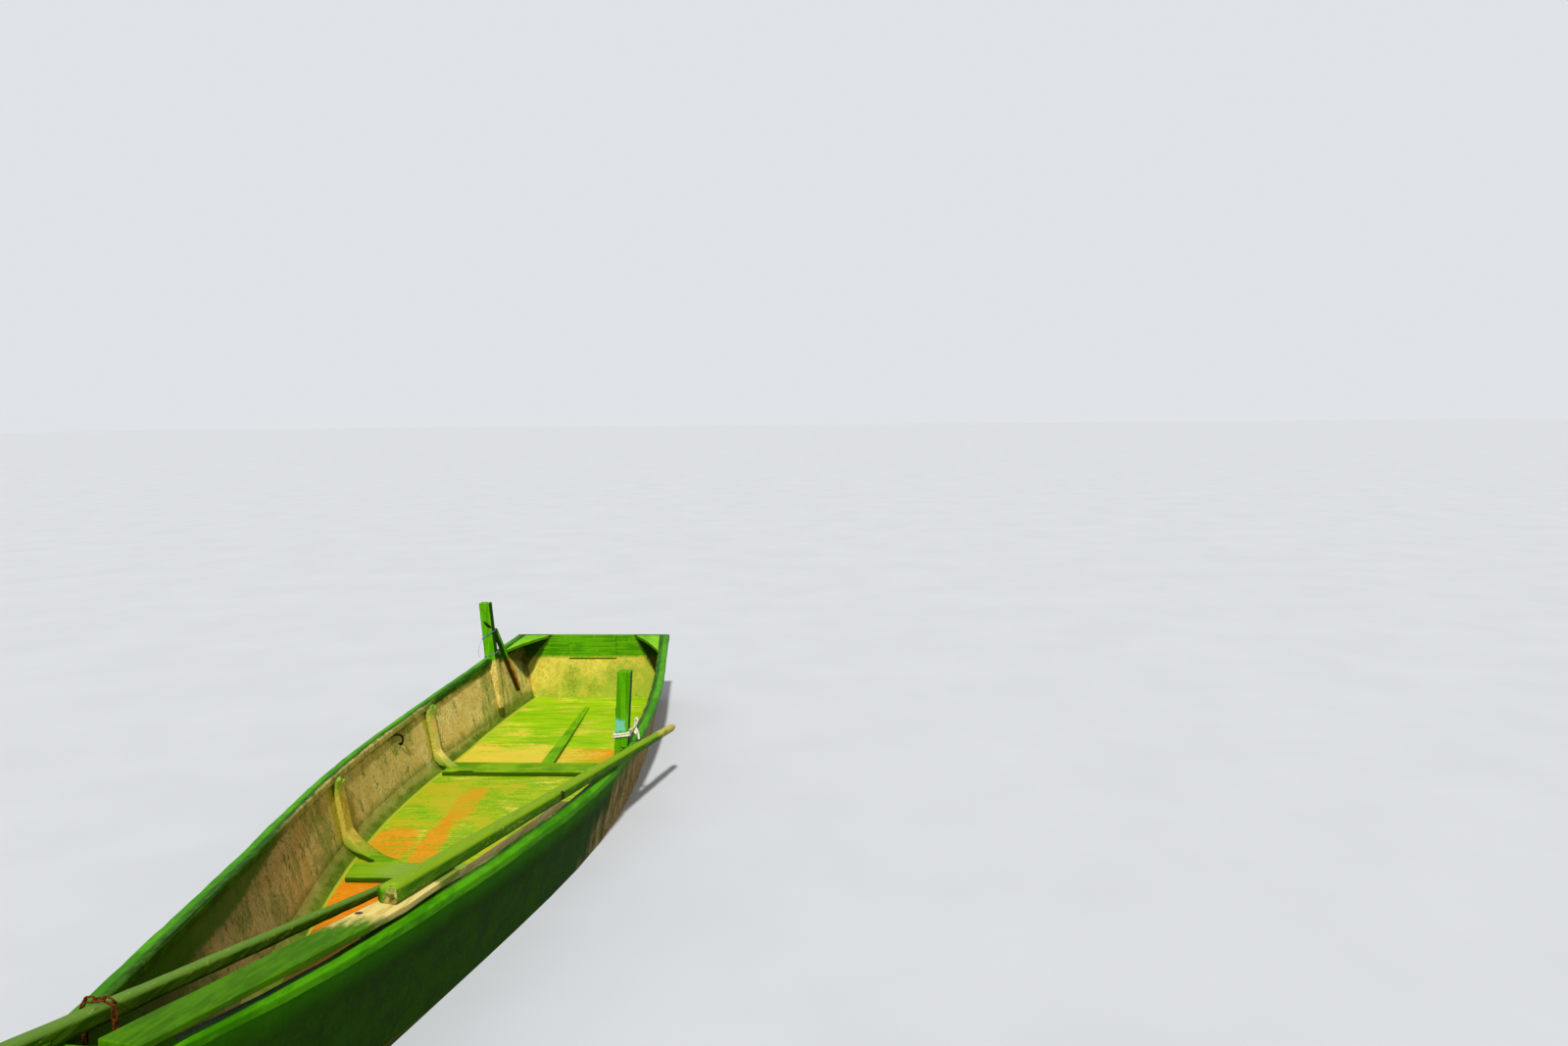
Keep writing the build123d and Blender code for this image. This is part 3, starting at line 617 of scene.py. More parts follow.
def green_finish(name, dark, light):
    """Brushed green paint with a few worn specks, and painted shade on faces that turn away from above.
    """
    f = Finish(name)
    big = f.noise(4, detail=4)
    blot = f.noise(26, (0.5, 1, 1), detail=6, roughness=0.7)
    speck = f.noise(150, detail=4, roughness=0.75)
    colour = f.mix(f.mask(big * 0.5 + blot * 0.5, 0.42, 0.58), dark, light)
    worn = f.mask(blot + speck.by(0.5), 0.60, 0.72) * f.mask(f.facing[2], 0.3, 0.8)
    colour = f.mix(worn * 0.4, colour, GREEN_WORN)
    colour = f.mix(f.mask(speck + blot.by(0.4), 0.62, 0.70) * 0.6, colour, GREEN_SPECKS)
    # Painted shade on faces that are vertical or turned down
    under = f.mask(f.facing[2], 0.4, -0.1)
    colour = f.mix(under * 0.7, colour, GREEN_PAINTED_SHADE)
    return f.done(colour, 0.36 + blot * 0.25, blot * 0.8 + speck * 0.25, 0.0020)


# The gunwales: their crown, and the painted shade on their inner half
CROWN_DARK = (0.050, 0.26, 0.001)
CROWN_LIGHT = (0.105, 0.42, 0.004)
INNER_SHADE_DARK = (0.018, 0.080, 0.001)
INNER_SHADE_LIGHT = (0.050, 0.18, 0.002)
INNER_SPECKS = (0.020, 0.050, 0.001)
RIM_CHIPS = (0.50, 0.62, 0.08)


def gunwale_finish():
    """Vivid green on the crown, painted shade on the inner half, where the tan of the side laps over
    it.
    """
    f = Finish("gunwale_paint")
    big, blot, speck, grain = wall_noises(f)
    across = f.wire(f.node("ShaderNodeAttribute", {"attribute_name": ACROSS}).outputs["Fac"])
    brush = f.noise(30, (0.25, 1, 1), detail=5, roughness=0.65)
    crown = f.mix(f.mask(brush * 0.6 + big * 0.4, 0.42, 0.58), CROWN_DARK, CROWN_LIGHT)
    # Painted shade: the inner half of the gunwale is darker green, as a rounded top would be
    painted_shade = f.mix(f.mask(brush, 0.40, 0.60), INNER_SHADE_DARK, INNER_SHADE_LIGHT)
    colour = f.mix(f.mask(across + brush.by(0.25), 0.40, 0.68), crown, painted_shade)
    specks = f.mask(speck + blot.by(0.8), 0.50, 0.60) * f.mask(across, 0.45, 0.75)
    colour = f.mix(specks * 0.7, colour, INNER_SPECKS)
    middle = f.mask(f.x, -0.95, -0.60) * f.mask(f.x, 1.00, 0.55)
    lap = across + speck.by(0.5) + blot.by(0.9) + grain.by(0.4)
    lap = f.mask(lap, 0.80, 0.95) * middle
    colour = f.mix(lap * 0.9, colour, wall_colour(f, big, blot, speck, grain))
    chip = f.mask(speck * 0.5 + grain * 0.5, 0.62, 0.68) * 0.5
    colour = f.mix(chip, colour, RIM_CHIPS)
    return f.done(colour, 0.36 + blot * 0.25, brush * 0.6 + blot * 0.5 + speck * 0.25, 0.0022)


# The coves, with their edge on the floor
OLIVE_DARK = (0.060, 0.115, 0.003)
OLIVE_LIGHT = (0.16, 0.25, 0.010)
COVE_GROWTH = (0.17, 0.23, 0.015)
COVE_SPECKS = (0.03, 0.04, 0.003)
COVE_EDGE = (0.56, 0.62, 0.04)


def cove_finish():
    """The side's colours, going dark olive near the floor, with a thin pale edge on it."""
    f = Finish("cove_paint")
    big, blot, speck, grain = wall_noises(f)
    low = above_floor(f)
    colour = wall_colour(f, big, blot, speck, grain)
    olive = f.mix(f.mask(blot, 0.36, 0.64), OLIVE_DARK, OLIVE_LIGHT)
    colour = f.mix(f.mask(low + blot.by(0.10), 0.085, 0.035) * 0.70, colour, COVE_GROWTH)
    colour = f.mix(f.mask(low + blot.by(0.05), 0.034, 0.012) * 0.90, colour, olive)
    colour = f.mix(f.mask(low + blot.by(0.004), 0.0042, 0.0018) * 0.8, colour, COVE_EDGE)
    colour = f.mix(f.mask(speck, 0.60, 0.70) * 0.5, colour, COVE_SPECKS)
    return f.done(colour, 0.45 + blot * 0.2, blot * 0.8 + speck * 0.4, 0.003)


# The frames: floor timbers, then ribs
TIMBER_DARK = (0.11, 0.29, 0.003)
TIMBER_LIGHT = (0.27, 0.46, 0.010)
TIMBER_GREY = (0.33, 0.44, 0.08)
TIMBER_FRONT_SHADE = (0.020, 0.060, 0.001)
RIB_OCHRE = (0.52, 0.36, 0.035)
RIB_CREAM = (0.76, 0.58, 0.09)
RIB_CREAM_AFT = (0.98, 0.78, 0.20)
RIB_ORANGE = (0.80, 0.36, 0.01)
RIB_FORE_FACE = (0.60, 0.44, 0.070)
RIB_CRUST = (0.17, 0.30, 0.012)
RIB_FOOT_GREEN = (0.16, 0.32, 0.008)
RIB_TOP_GREEN = (0.14, 0.32, 0.008)

# A grey spot on the middle floor timber: x, y, half length and half width
GREY_PLACE = (0.46, -0.06, 0.10, 0.22)


def frame_finish():
    """Ribs ochre with a crusty green edge and foot; floor timbers light green, with painted shade on
    their fore faces.
    """
    f = Finish("rib_paint")
    blot = f.noise(24, detail=6, roughness=0.75)
    speck = f.noise(120, detail=5, roughness=0.8)
    brush = f.noise(80, (1, 0.07, 1), detail=4)
    big = f.noise(6, detail=3)
    timber = f.mix(f.mask(brush + big.by(1), 0.35, 0.65), TIMBER_DARK, TIMBER_LIGHT)
    grey = f.spot(*GREY_PLACE, ragged=blot.by(2))
    timber = f.mix(grey * 0.5, timber, TIMBER_GREY)
    # Painted shade: the floor timbers' fore faces go nearly black
    edge = f.mask(f.facing[0], 0.45, 0.85)
    timber = f.mix(edge * 0.9, timber, TIMBER_FRONT_SHADE)
    aft = f.mask(f.x, -0.2, -0.5)
    rib = f.mix(f.mask(blot, 0.38, 0.62), RIB_OCHRE, RIB_CREAM)
    rib = f.mix(aft * 0.7, rib, RIB_CREAM_AFT)
    rib = f.mix(f.mask(speck + big.by(1), 0.52, 0.62) * (0.55 - aft * 0.3), rib, RIB_ORANGE)
    ahead = f.mask(f.facing[0], 0.25, 0.60)
    rib = f.mix(ahead * 0.70, rib, RIB_FORE_FACE)
    crust = f.mask(blot * 0.5 + speck * 0.5 + ahead * 0.08, 0.53, 0.60)
    rib = f.mix(crust * 0.55, rib, RIB_CRUST)
    foot = f.mask(f.z + blot.by(0.08), 0.115, 0.065)
    rib = f.mix(foot * 0.75, rib, RIB_FOOT_GREEN)
    top = f.mask(f.z + blot.by(0.14), 0.265, 0.315)
    rib = f.mix(top * 0.7, rib, RIB_TOP_GREEN)
    colour = f.mix(f.mask(f.z, TIMBER_TOP - 0.0045, TIMBER_TOP + 0.0045), timber, rib)
    return f.done(colour, 0.42 + blot * 0.25, blot * 0.9 + speck * 0.5, 0.0036)


# The oars' shafts
SHAFT_OLIVE = (0.20, 0.34, 0.020)
SHAFT_GRAIN = (0.04, 0.11, 0.002)
SHAFT_SCRATCH = (0.70, 0.62, 0.16)
SHAFT_KNOT = (0.03, 0.02, 0.002)
HANDLE_WOOD = (0.66, 0.54, 0.12)
HANDLE_TIP = (0.86, 0.66, 0.08)
END_PALE = (0.62, 0.50, 0.16)
END_DARK = (0.10, 0.08, 0.01)

# The loose oar's knots on the plan, and the place of its shaft's square end
SHAFT_KNOTS = ((1.321, 0.302), (0.624, 0.517))
SHAFT_KNOT_SIZE = (0.014, 0.010)
SHAFT_KNOT_TURN = -0.2
SHAFT_END = 1.592


def oar_finish(name, light, dark, worn_end):
    """Green paint on a rough shaft, with painted light and sheen on top and painted shade below; knots
    and worn ends only if asked for.
    """
    f = Finish(name)
    grain = f.noise(55, (0.05, 1, 1), detail=5, roughness=0.65, turn=OAR_TURN)
    blot = f.noise(14, (0.5, 1, 1), detail=6, roughness=0.7)
    speck = f.noise(130, (0.4, 1, 1), detail=4, roughness=0.75)
    # Painted light and shade: the light tone on faces turned up, the dark tone on faces turned down
    colour = f.mix(f.mask(f.facing[2], 0.15, 0.75), dark, light)
    colour = f.mix(f.mask(grain + blot.by(0.6), 0.42, 0.62) * 0.35, colour, SHAFT_OLIVE)
    colour = f.mix(f.mask(grain, 0.62, 0.68) * 0.5, colour, SHAFT_GRAIN)
    scratch = f.mask(speck + grain.by(0.8), 0.66, 0.72) * 0.6
    colour = f.mix(scratch, colour, SHAFT_SCRATCH)
    if worn_end:
        handled = f.mask(f.x + blot.by(0.5), -0.20, -0.52)
        wear = f.mask(handled * 0.35 + grain * 0.5 + speck * 0.4 + blot * 0.2, 0.66, 0.76)
        colour = f.mix(wear * 0.8, colour, HANDLE_WOOD)
        tip = f.mask(f.x + blot.by(0.05), -0.54, -0.575)
        colour = f.mix(tip * 0.8, colour, HANDLE_TIP)
        for x, y in SHAFT_KNOTS:
            knot = f.spot(x, y, *SHAFT_KNOT_SIZE, SHAFT_KNOT_TURN, blot.by(1))
            colour = f.mix(knot * 0.9, colour, SHAFT_KNOT)
        end = f.mask(f.x, SHAFT_END - 0.002, SHAFT_END + 0.002)
        end = end * f.mask(f.facing[0], 0.6, 0.8) * f.mask(blot + grain, 0.75, 0.95)
        colour = f.mix(end * 0.8, colour, f.mix(f.mask(grain, 0.42, 0.58), END_PALE, END_DARK))
    return f.done(colour, 0.42 + grain * 0.25, grain * 0.8 + blot * 0.4, 0.0018)


# The oars' blades
BARE_DARK = (0.74, 0.52, 0.13)
BARE_PALE = (0.98, 0.78, 0.26)
BLADE_GREEN_DARK = (0.052, 0.170, 0.001)
BLADE_GREEN_LIGHT = (0.085, 0.25, 0.002)
BLADE_ROOT_DARK = (0.12, 0.24, 0.010)
BLADE_ROOT_LIGHT = (0.30, 0.40, 0.05)
BLADE_KNOT = (0.015, 0.01, 0.002)
BLADE_PAINTED_SHADE = (0.05, 0.10, 0.005)
BLADE_KNOTS = (
    # x, y, radius
    (1.674, 0.222, 0.011),
    (1.316, 0.318, 0.006),
)


def blade_finish():
    """Bare cream wood under the shaft, green paint ahead of it, and painted shade on faces turned down.
    """
    f = Finish("blade_wood")
    grain = f.noise(50, (0.04, 1, 1), detail=5, roughness=0.65, turn=OAR_TURN)
    blot = f.noise(12, (0.6, 1, 1), detail=6, roughness=0.7)
    brush = f.noise(75, (0.06, 1, 1), detail=4, turn=OAR_TURN)
    bare = f.mix(f.mask(grain, 0.36, 0.56), BARE_DARK, BARE_PALE)
    green = f.mix(f.mask(brush * 0.6 + blot * 0.5, 0.46, 0.64), BLADE_GREEN_DARK, BLADE_GREEN_LIGHT)
    painted = f.mask(f.x + blot.by(0.26) + grain.by(0.22) + f.y * 0.45, 1.80, 1.90)
    colour = f.mix(painted, bare, green)
    root = f.mask(f.x + blot.by(0.15), 1.44, 1.40)
    colour = f.mix(root * 0.9, colour, f.mix(grain, BLADE_ROOT_DARK, BLADE_ROOT_LIGHT))
    for x, y, size in BLADE_KNOTS:
        colour = f.mix(f.spot(x, y, size, size) * 0.95, colour, BLADE_KNOT)
    # Painted shade on the blade's side and under faces
    below = f.mask(f.facing[2], 0.3, -0.2)
    colour = f.mix(below * 0.5, colour, BLADE_PAINTED_SHADE)
    return f.done(colour, 0.45 + grain * 0.25, grain * 0.9 + blot * 0.2, 0.0012)


# The oar posts
POST_DARK = (0.070, 0.30, 0.001)
POST_LIGHT = (0.12, 0.45, 0.003)
POST_TAN = (0.52, 0.36, 0.07)
POST_CREAM = (0.95, 0.72, 0.22)
POST_FOOT_SHADOW = (0.03, 0.04, 0.003)
POST_HOLES = (0.01, 0.02, 0.001)
POST_TURQUOISE = (0.20, 0.66, 0.46)
POST_WORN = (0.60, 0.75, 0.20)
POST_GRAIN = (0.02, 0.08, 0.001)
POST_PORTSIDE_SHADE = (0.006, 0.020, 0.001)

# The turquoise patch on the port post: x, y, half length and half width
TURQUOISE_PLACE = (-0.155, 0.562, 0.03, 0.028)


def post_finish():
    """Vivid green, tan low on the starboard post, with a turquoise patch on the port one; a painted
    shadow at the starboard post's foot and painted shade on faces turned to port.
    """
    f = Finish("post_paint")
    grain = f.noise(60, (1, 1, 0.05), detail=5, roughness=0.65)
    blot = f.noise(26, (1, 1, 0.5), detail=6, roughness=0.75)
    speck = f.noise(120, (1, 1, 0.5), detail=5, roughness=0.8)
    colour = f.mix(f.mask(grain + blot.by(0.5), 0.42, 0.58), POST_DARK, POST_LIGHT)
    starboard = f.mask(f.x, -1.2, -1.4)
    tan = f.mix(f.mask(speck * 0.6 + blot * 0.4, 0.44, 0.56), POST_TAN, POST_CREAM)
    low = f.mask(f.z + blot.by(0.08), 0.415, 0.385) * starboard
    colour = f.mix(low * 0.95, colour, tan)
    # Painted shadow at the starboard post's foot
    foot_shadow = f.mask(f.z + blot.by(0.03), 0.128, 0.110) * starboard
    colour = f.mix(foot_shadow * 0.9, colour, POST_FOOT_SHADOW)
    knots = f.mask(speck, 0.60, 0.66) * f.mask(f.z, 0.52, 0.56) * starboard
    colour = f.mix(knots * 0.8, colour, POST_HOLES)
    patch = f.spot(*TURQUOISE_PLACE, ragged=blot.by(4))
    patch = patch * f.mask(f.z + blot.by(0.04), 0.425, 0.435)
    patch = patch * f.mask(f.z + blot.by(0.05), 0.495, 0.475)
    colour = f.mix(patch * 0.85, colour, POST_TURQUOISE)
    colour = f.mix(f.mask(speck * 0.6 + grain * 0.4, 0.60, 0.66) * 0.5, colour, POST_WORN)
    colour = f.mix(f.mask(grain, 0.60, 0.68) * 0.6, colour, POST_GRAIN)
    # Painted shade on the posts' faces turned to port
    away = f.mask(f.facing[1], 0.5, 0.9) * (1 - low)
    colour = f.mix(away * 0.9, colour, POST_PORTSIDE_SHADE)
    return f.done(colour, 0.42 + blot * 0.2, grain * 0.9 + blot * 0.5, 0.0016)


# Their struts
STRUT_DARK = (0.060, 0.26, 0.001)
STRUT_LIGHT = (0.13, 0.44, 0.003)
STRUT_BROWN = (0.30, 0.070, 0.010)
STRUT_RED = (0.62, 0.22, 0.030)
STRUT_FORE_SHADE = (0.010, 0.022, 0.001)


def strut_finish():
    """Painted shade, nearly black, on the fore face, standing for the post's shadow; green above and
    red-brown below on the others.
    """
    f = Finish("strut_paint")
    grain = f.noise(60, (1, 1, 0.05), detail=5, roughness=0.65)
    blot = f.noise(30, (1, 1, 0.5), detail=6, roughness=0.75)
    colour = f.mix(f.mask(grain + blot.by(0.5), 0.42, 0.58), STRUT_DARK, STRUT_LIGHT)
    bare = f.mix(f.mask(blot, 0.42, 0.58), STRUT_BROWN, STRUT_RED)
    colour = f.mix(f.mask(f.z + blot.by(0.10), 0.40, 0.36), colour, bare)
    # Painted shadow of the post on the strut's fore face
    fore_shade = f.mask(f.facing[0] - f.facing[1].math("ABSOLUTE") * 0.6, 0.10, 0.35)
    colour = f.mix(fore_shade * 0.92, colour, STRUT_FORE_SHADE)
    return f.done(colour, 0.45 + blot * 0.2, grain * 0.9 + blot * 0.5, 0.0016)


def rust_finish(name, dark, light, flakes):
    """Rough iron, blotched, with flakes of brighter rust."""
    f = Finish(name)
    blot = f.noise(260, detail=5, roughness=0.7)
    flake = f.noise(900, detail=3, roughness=0.7)
    colour = f.mix(f.mask(blot, 0.40, 0.60), dark, light)
    colour = f.mix(f.mask(flake, 0.56, 0.66) * 0.7, colour, flakes)
    return f.done(colour, 0.65 + blot * 0.25, blot + flake * 0.4, 0.0005, metallic=0.2)


# The loose lath
LATH_TAN = (0.84, 0.56, 0.14)
LATH_CREAM = (0.95, 0.80, 0.34)
LATH_ORANGE = (0.80, 0.40, 0.06)
LATH_GREY = (0.36, 0.38, 0.06)


def lath_finish():
    """Bare board, cream and orange, grey in places."""
    f = Finish("lath_wood")
    grain = f.noise(60, (0.04, 1, 1), detail=5, roughness=0.65, turn=LATH_TURN)
    blot = f.noise(16, (0.5, 1, 1), detail=6, roughness=0.7)
    colour = f.mix(f.mask(grain, 0.40, 0.58), LATH_TAN, LATH_CREAM)
    colour = f.mix(f.mask(blot, 0.56, 0.66) * 0.4, colour, LATH_ORANGE)
    colour = f.mix(f.mask(blot + grain.by(1), 0.38, 0.30) * 0.4, colour, LATH_GREY)
    return f.done(colour, 0.55 + grain * 0.25, grain, 0.0012)


def rope_finish(name, pale, shade):
    """Laid fibres, shaded between the strands and where they are dirty."""
    f = Finish(name)
    lay = f.noise(420, (1, 1, 0.4), detail=2)
    dirt = f.noise(70, detail=4, roughness=0.6)
    colour = f.mix(f.mask(lay + dirt.by(0.8), 0.36, 0.62), shade, pale)
    return f.done(colour, 0.85, lay, 0.0006, gloss=0.2)


# Resin over green paint
RESIN_GREEN = (0.10, 0.36, 0.002)
RESIN_PALE = (0.62, 0.80, 0.10)


def resin_finish():
    """Glossy lumps, green where paint still covers them."""
    f = Finish("resin")
    blot = f.noise(70, detail=5, roughness=0.7)
    colour = f.mix(f.mask(blot, 0.40, 0.66), RESIN_GREEN, RESIN_PALE)
    return f.done(colour, 0.35 + blot * 0.25, blot, 0.003, gloss=0.25)


def seen(tree):
    """1 for a ray that shows the surroundings, in the picture or in a reflection."""
    path = tree.nodes.new("ShaderNodeLightPath")
    shown = Wire(tree, path.outputs["Is Camera Ray"])
    for kind in ("Is Glossy Ray", "Is Transmission Ray"):
        shown = shown.math("MAXIMUM", Wire(tree, path.outputs[kind]))
    return shown


# The stage round the boat
STAGE_SHADE = (0.700, 0.712, 0.725)
STAGE_PALE = (0.725, 0.737, 0.750)
STAGE_WATER = (0.10, 0.11, 0.11)


def stage_finish():
    """Pale where it is seen, and dark like still water where it throws light on the boat."""
    f = Finish("floor_stage")
    soft = f.noise(1.5, detail=2)
    pale = f.mix(f.mask(soft, 0.3, 0.7), STAGE_SHADE, STAGE_PALE)
    return f.done(f.mix(seen(f.tree), STAGE_WATER, pale), 0.85, gloss=0.1)


# Green paint takes a dark and a light tone, an oar a painted lit tone for its top and a painted shaded
# tone for below, iron a dark and a light one and its flakes, and rope its pale tone and its shade
FLOOR = floor_finish()
SIDE = side_finish()
TRANSOM = transom_finish()
RIM = green_finish("rim_paint", (0.045, 0.20, 0.001), (0.095, 0.34, 0.002))
GUNWALE = gunwale_finish()
KNEE = green_finish("knee_paint", (0.14, 0.48, 0.004), (0.26, 0.64, 0.016))
COVE = cove_finish()
FRAMES = frame_finish()
BATTEN = green_finish("batten_paint", (0.11, 0.34, 0.002), (0.22, 0.50, 0.006))
SHAFT = oar_finish("oar_paint", (0.25, 0.42, 0.010), (0.050, 0.17, 0.001), True)
BOW_SHAFT = oar_finish("bow_oar_paint", (0.15, 0.30, 0.035), (0.040, 0.11, 0.001), False)
BLADE = blade_finish()
POST = post_finish()
STRUT = strut_finish()
RUST = rust_finish("rusty_iron", (0.030, 0.008, 0.002), (0.22, 0.045, 0.008), (0.46, 0.14, 0.030))
DARK_IRON = rust_finish("dark_iron", (0.008, 0.006, 0.004), (0.030, 0.012, 0.006), (0.20, 0.060, 0.015))
ROPE = rope_finish("white_rope", (0.98, 0.95, 0.82), (0.62, 0.54, 0.34))
CORD = rope_finish("thin_cord", (0.34, 0.46, 0.46), (0.010, 0.020, 0.022))
THREAD = rope_finish("pale_thread", (0.55, 0.66, 0.74), (0.22, 0.32, 0.38))
RESIN = resin_finish()
LATH = lath_finish()

# The finish of each node whose name starts so; the last that fits is taken
FINISHES = (
    ("", RIM),
    ("gunwale", GUNWALE),
    ("bottom", FLOOR),
    ("side", SIDE),
    ("transom", TRANSOM),
    ("cove", COVE),
    ("floor_batten", BATTEN),
    ("quarter_knee", KNEE),
    ("oar_blade", BLADE),
    ("oar_side", BLADE),
    ("oar_shaft", SHAFT),
    ("oar_shaft_bow", BOW_SHAFT),
    ("oar_post", POST),
    ("post_strut", STRUT),
    ("chain", RUST),
    ("mooring", RUST),
)


def finish_of(node):
    """The material of one of the boat's nodes."""
    return [material for start, material in FINISHES if node.startswith(start)][-1]


def clean_copy(nodes):
    """The meshes of some of the boat's nodes as one, with points merged and flat faces whole."""
    made = bmesh.new()
    for node in nodes:
        made.from_mesh(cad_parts[node].data)
    bmesh.ops.remove_doubles(made, verts=made.verts, dist=MERGE)
    bmesh.ops.dissolve_limit(made, angle_limit=FLAT, verts=made.verts, edges=made.edges)
    return made


def cut_across(made, run):
    """Cut a mesh across its length every so far, so that it can be made uneven."""
    low = min(vert.co.x for vert in made.verts)
    high = max(vert.co.x for vert in made.verts)
    count = int((high - low) / run)
    for number in range(1, count):
        place = (low + (high - low) * number / count, 0, 0)
        everything = made.verts[:] + made.edges[:] + made.faces[:]
        bmesh.ops.bisect_plane(made, geom=everything, plane_co=place, plane_no=(1, 0, 0), dist=MERGE)


def push_out(made, height):
    """Move each point along its normal, as far as a function of its place says."""
    bmesh.ops.recalc_face_normals(made, faces=made.faces)
    made.normal_update()
    moves = [(vert, vert.normal * height(vert.co)) for vert in made.verts]
    for vert, move in moves:
        vert.co += move


def roughen(made, uneven, waves=WAVES):
    """Make a surface uneven, in large waves and in finer ones half as high."""

    def height(place):
        return uneven * (noise.noise(place / waves) + 0.5 * noise.noise(place / waves * FINER))

    push_out(made, height)


def mark_across(made):
    """Give each point of a long piece its place between the piece's two sides there."""
    layer = made.verts.layers.float.new(ACROSS)
    places = {}
    for vert in made.verts:
        places.setdefault(round(vert.co.x, 3), []).append(abs(vert.co.y))
    cuts = [(x, found) for x, found in places.items() if len(found) >= CUT_POINTS]
    stations = sorted((x, min(found), max(found)) for x, found in cuts)
    for vert in made.verts:
        x, inner, outer = min(stations, key=lambda row: abs(row[0] - vert.co.x))
        vert[layer] = min(max((outer - abs(vert.co.y)) / (outer - inner), 0), 1)


def shape(made, name, material):
    """Turn a mesh into an object, with its faces outwards."""
    bmesh.ops.recalc_face_normals(made, faces=made.faces)
    mesh = bpy.data.meshes.new(name)
    made.to_mesh(mesh)
    made.free()
    mesh.materials.append(material)
    return add(name, mesh)


def piece(made, name, material, body, nodes=()):
    """A smooth shape that rides a body and may stand for some nodes."""
    for face in made.faces:
        face.smooth = True
    obj = shape(made, name, material)
    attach(obj, body)
    if nodes:
        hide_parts(*nodes)
    return obj


def sharp_edges(made, lengthwise):
    """The edges to round: all sharp ones, or only those that run lengthwise."""
    sharp = []
    for edge in made.edges:
        start, end = (vert.co for vert in edge.verts)
        across = abs(end.x - start.x) < LENGTHWISE * edge.calc_length()
        if edge.calc_face_angle(0) > SHARP and not (lengthwise and across):
            sharp.append(edge)
    return sharp


def make_worn(node, bevel, run, uneven, lengthwise):
    """One wooden piece, rounded and roughened as years of use and paint leave it."""
    made = clean_copy([node])
    bmesh.ops.bevel(
        made,
        geom=sharp_edges(made, lengthwise),
        offset=bevel,
        affect="EDGES",
        segments=3,
        profile=0.5,
        material=-1,
        clamp_overlap=True,
    )
    if run:
        cut_across(made, run)
    bmesh.ops.triangulate(made, faces=[face for face in made.faces if len(face.verts) > 4])
    if node.startswith("gunwale"):
        mark_across(made)
    roughen(made, uneven)
    body = "port_oar" if node in OAR_NODES else "hull"
    obj = piece(made, f"worn_{node}", finish_of(node), body, [node])
    weighted = obj.modifiers.new("even shading", "WEIGHTED_NORMAL")
    weighted.keep_sharp = False


def make_glassed():
    """Each frame's ribs and floor timber, under one skin of glass."""
    for name, nodes in GLASSED:
        made = clean_copy(nodes)
        bmesh.ops.recalc_face_normals(made, faces=made.faces)
        made.normal_update()
        for vert in made.verts:
            if vert.co.z > RIB_FOOT and abs(vert.normal.x) > LOOKS_ALONG:
                outward = vert.normal.y * math.copysign(1, vert.co.y) - vert.normal.z
                skin = RIB_SPREAD if outward > 0 else RIB_SKIN
                vert.co.x += math.copysign(skin, vert.normal.x)
        obj = piece(made, name, FRAMES, "hull", nodes)
        whole = obj.modifiers.new("skin", "REMESH")
        whole.mode = "VOXEL"
        whole.voxel_size = SKIN_GRAIN
        whole.use_smooth_shade = True
        soft = obj.modifiers.new("soft", "SMOOTH")
        soft.factor = 0.5
        soft.iterations = SKIN_SMOOTHING


def make_chain():
    """Round links from the plain ones: each is thickened a little and then rounded."""
    made = clean_copy(["chain"])
    push_out(made, lambda place: LINK_GROWTH)
    obj = piece(made, "rusty_chain", RUST, "hull", ["chain"])
    rounded = obj.modifiers.new("round", "SUBSURF")
    rounded.levels = 1
    rounded.render_levels = 1


def strand(name, points, radius, material):
    """A bent round wire, cord or rope along some points, held by the hull."""
    curve = bpy.data.curves.new(name, "CURVE")
    curve.dimensions = "3D"
    curve.bevel_depth = radius
    curve.bevel_resolution = 3
    curve.resolution_u = 6
    spline = curve.splines.new("NURBS")
    spline.points.add(len(points) - 1)
    for point, place in zip(spline.points, points):
        point.co = (*place, 1)
    spline.order_u = 3
    spline.use_endpoint_u = True
    curve.materials.append(material)
    obj = add(name, curve)
    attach(obj, "hull")


def verts_of(found):
    return [item for item in found if isinstance(item, bmesh.types.BMVert)]


def edges_of(found):
    return [item for item in found if isinstance(item, bmesh.types.BMEdge)]


def in_order(points):
    """Points on the plan in order round their middle, and that middle."""
    middle = sum(points, Vector((0, 0))) / len(points)
    return sorted(points, key=lambda point: math.atan2(*(point - middle).yx)), middle


def outline(nodes, height):
    """The convex outline of some of the boat's nodes at a height, as points in order."""
    cut = bmesh.new()
    for name in nodes:
        cut.from_mesh(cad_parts[name].data)
    everything = cut.verts[:] + cut.edges[:] + cut.faces[:]
    place = (0, 0, height)
    level = bmesh.ops.bisect_plane(cut, geom=everything, plane_co=place, plane_no=(0, 0, 1))
    points = {(round(vert.co.x, 4), round(vert.co.y, 4)) for vert in verts_of(level["geom_cut"])}
    cut.free()
    around = bmesh.new()
    for x, y in points:
        around.verts.new((x, y, 0))
    tight = bmesh.ops.convex_hull(around, input=around.verts)
    kept = [vert.co.xy for vert in verts_of(tight["geom"])]
    around.free()
    return in_order(kept)[0]


def turns_round(node, height, radius, rise, lean, turns=2):
    """Points of a cord wound tightly round a post, higher to port as far as it leans."""
    corners, middle = in_order(outline([node], height))
    spread = []
    for corner in corners:
        away = corner - middle
        spread.append(corner + Vector((math.copysign(radius, away.x), 0)))
        spread.append(corner + Vector((0, math.copysign(radius, away.y))))
    spread.sort(key=lambda point: math.atan2(*(point - middle).yx))
    points = []
    for number in range(turns * len(spread) + 1):
        place = spread[number % len(spread)]
        z = height + rise * number / len(spread) + lean * (place.y - middle.y)
        # A point given twice makes the cord bend sharply there
        points += [(place.x, place.y, z)] * 2
    return points


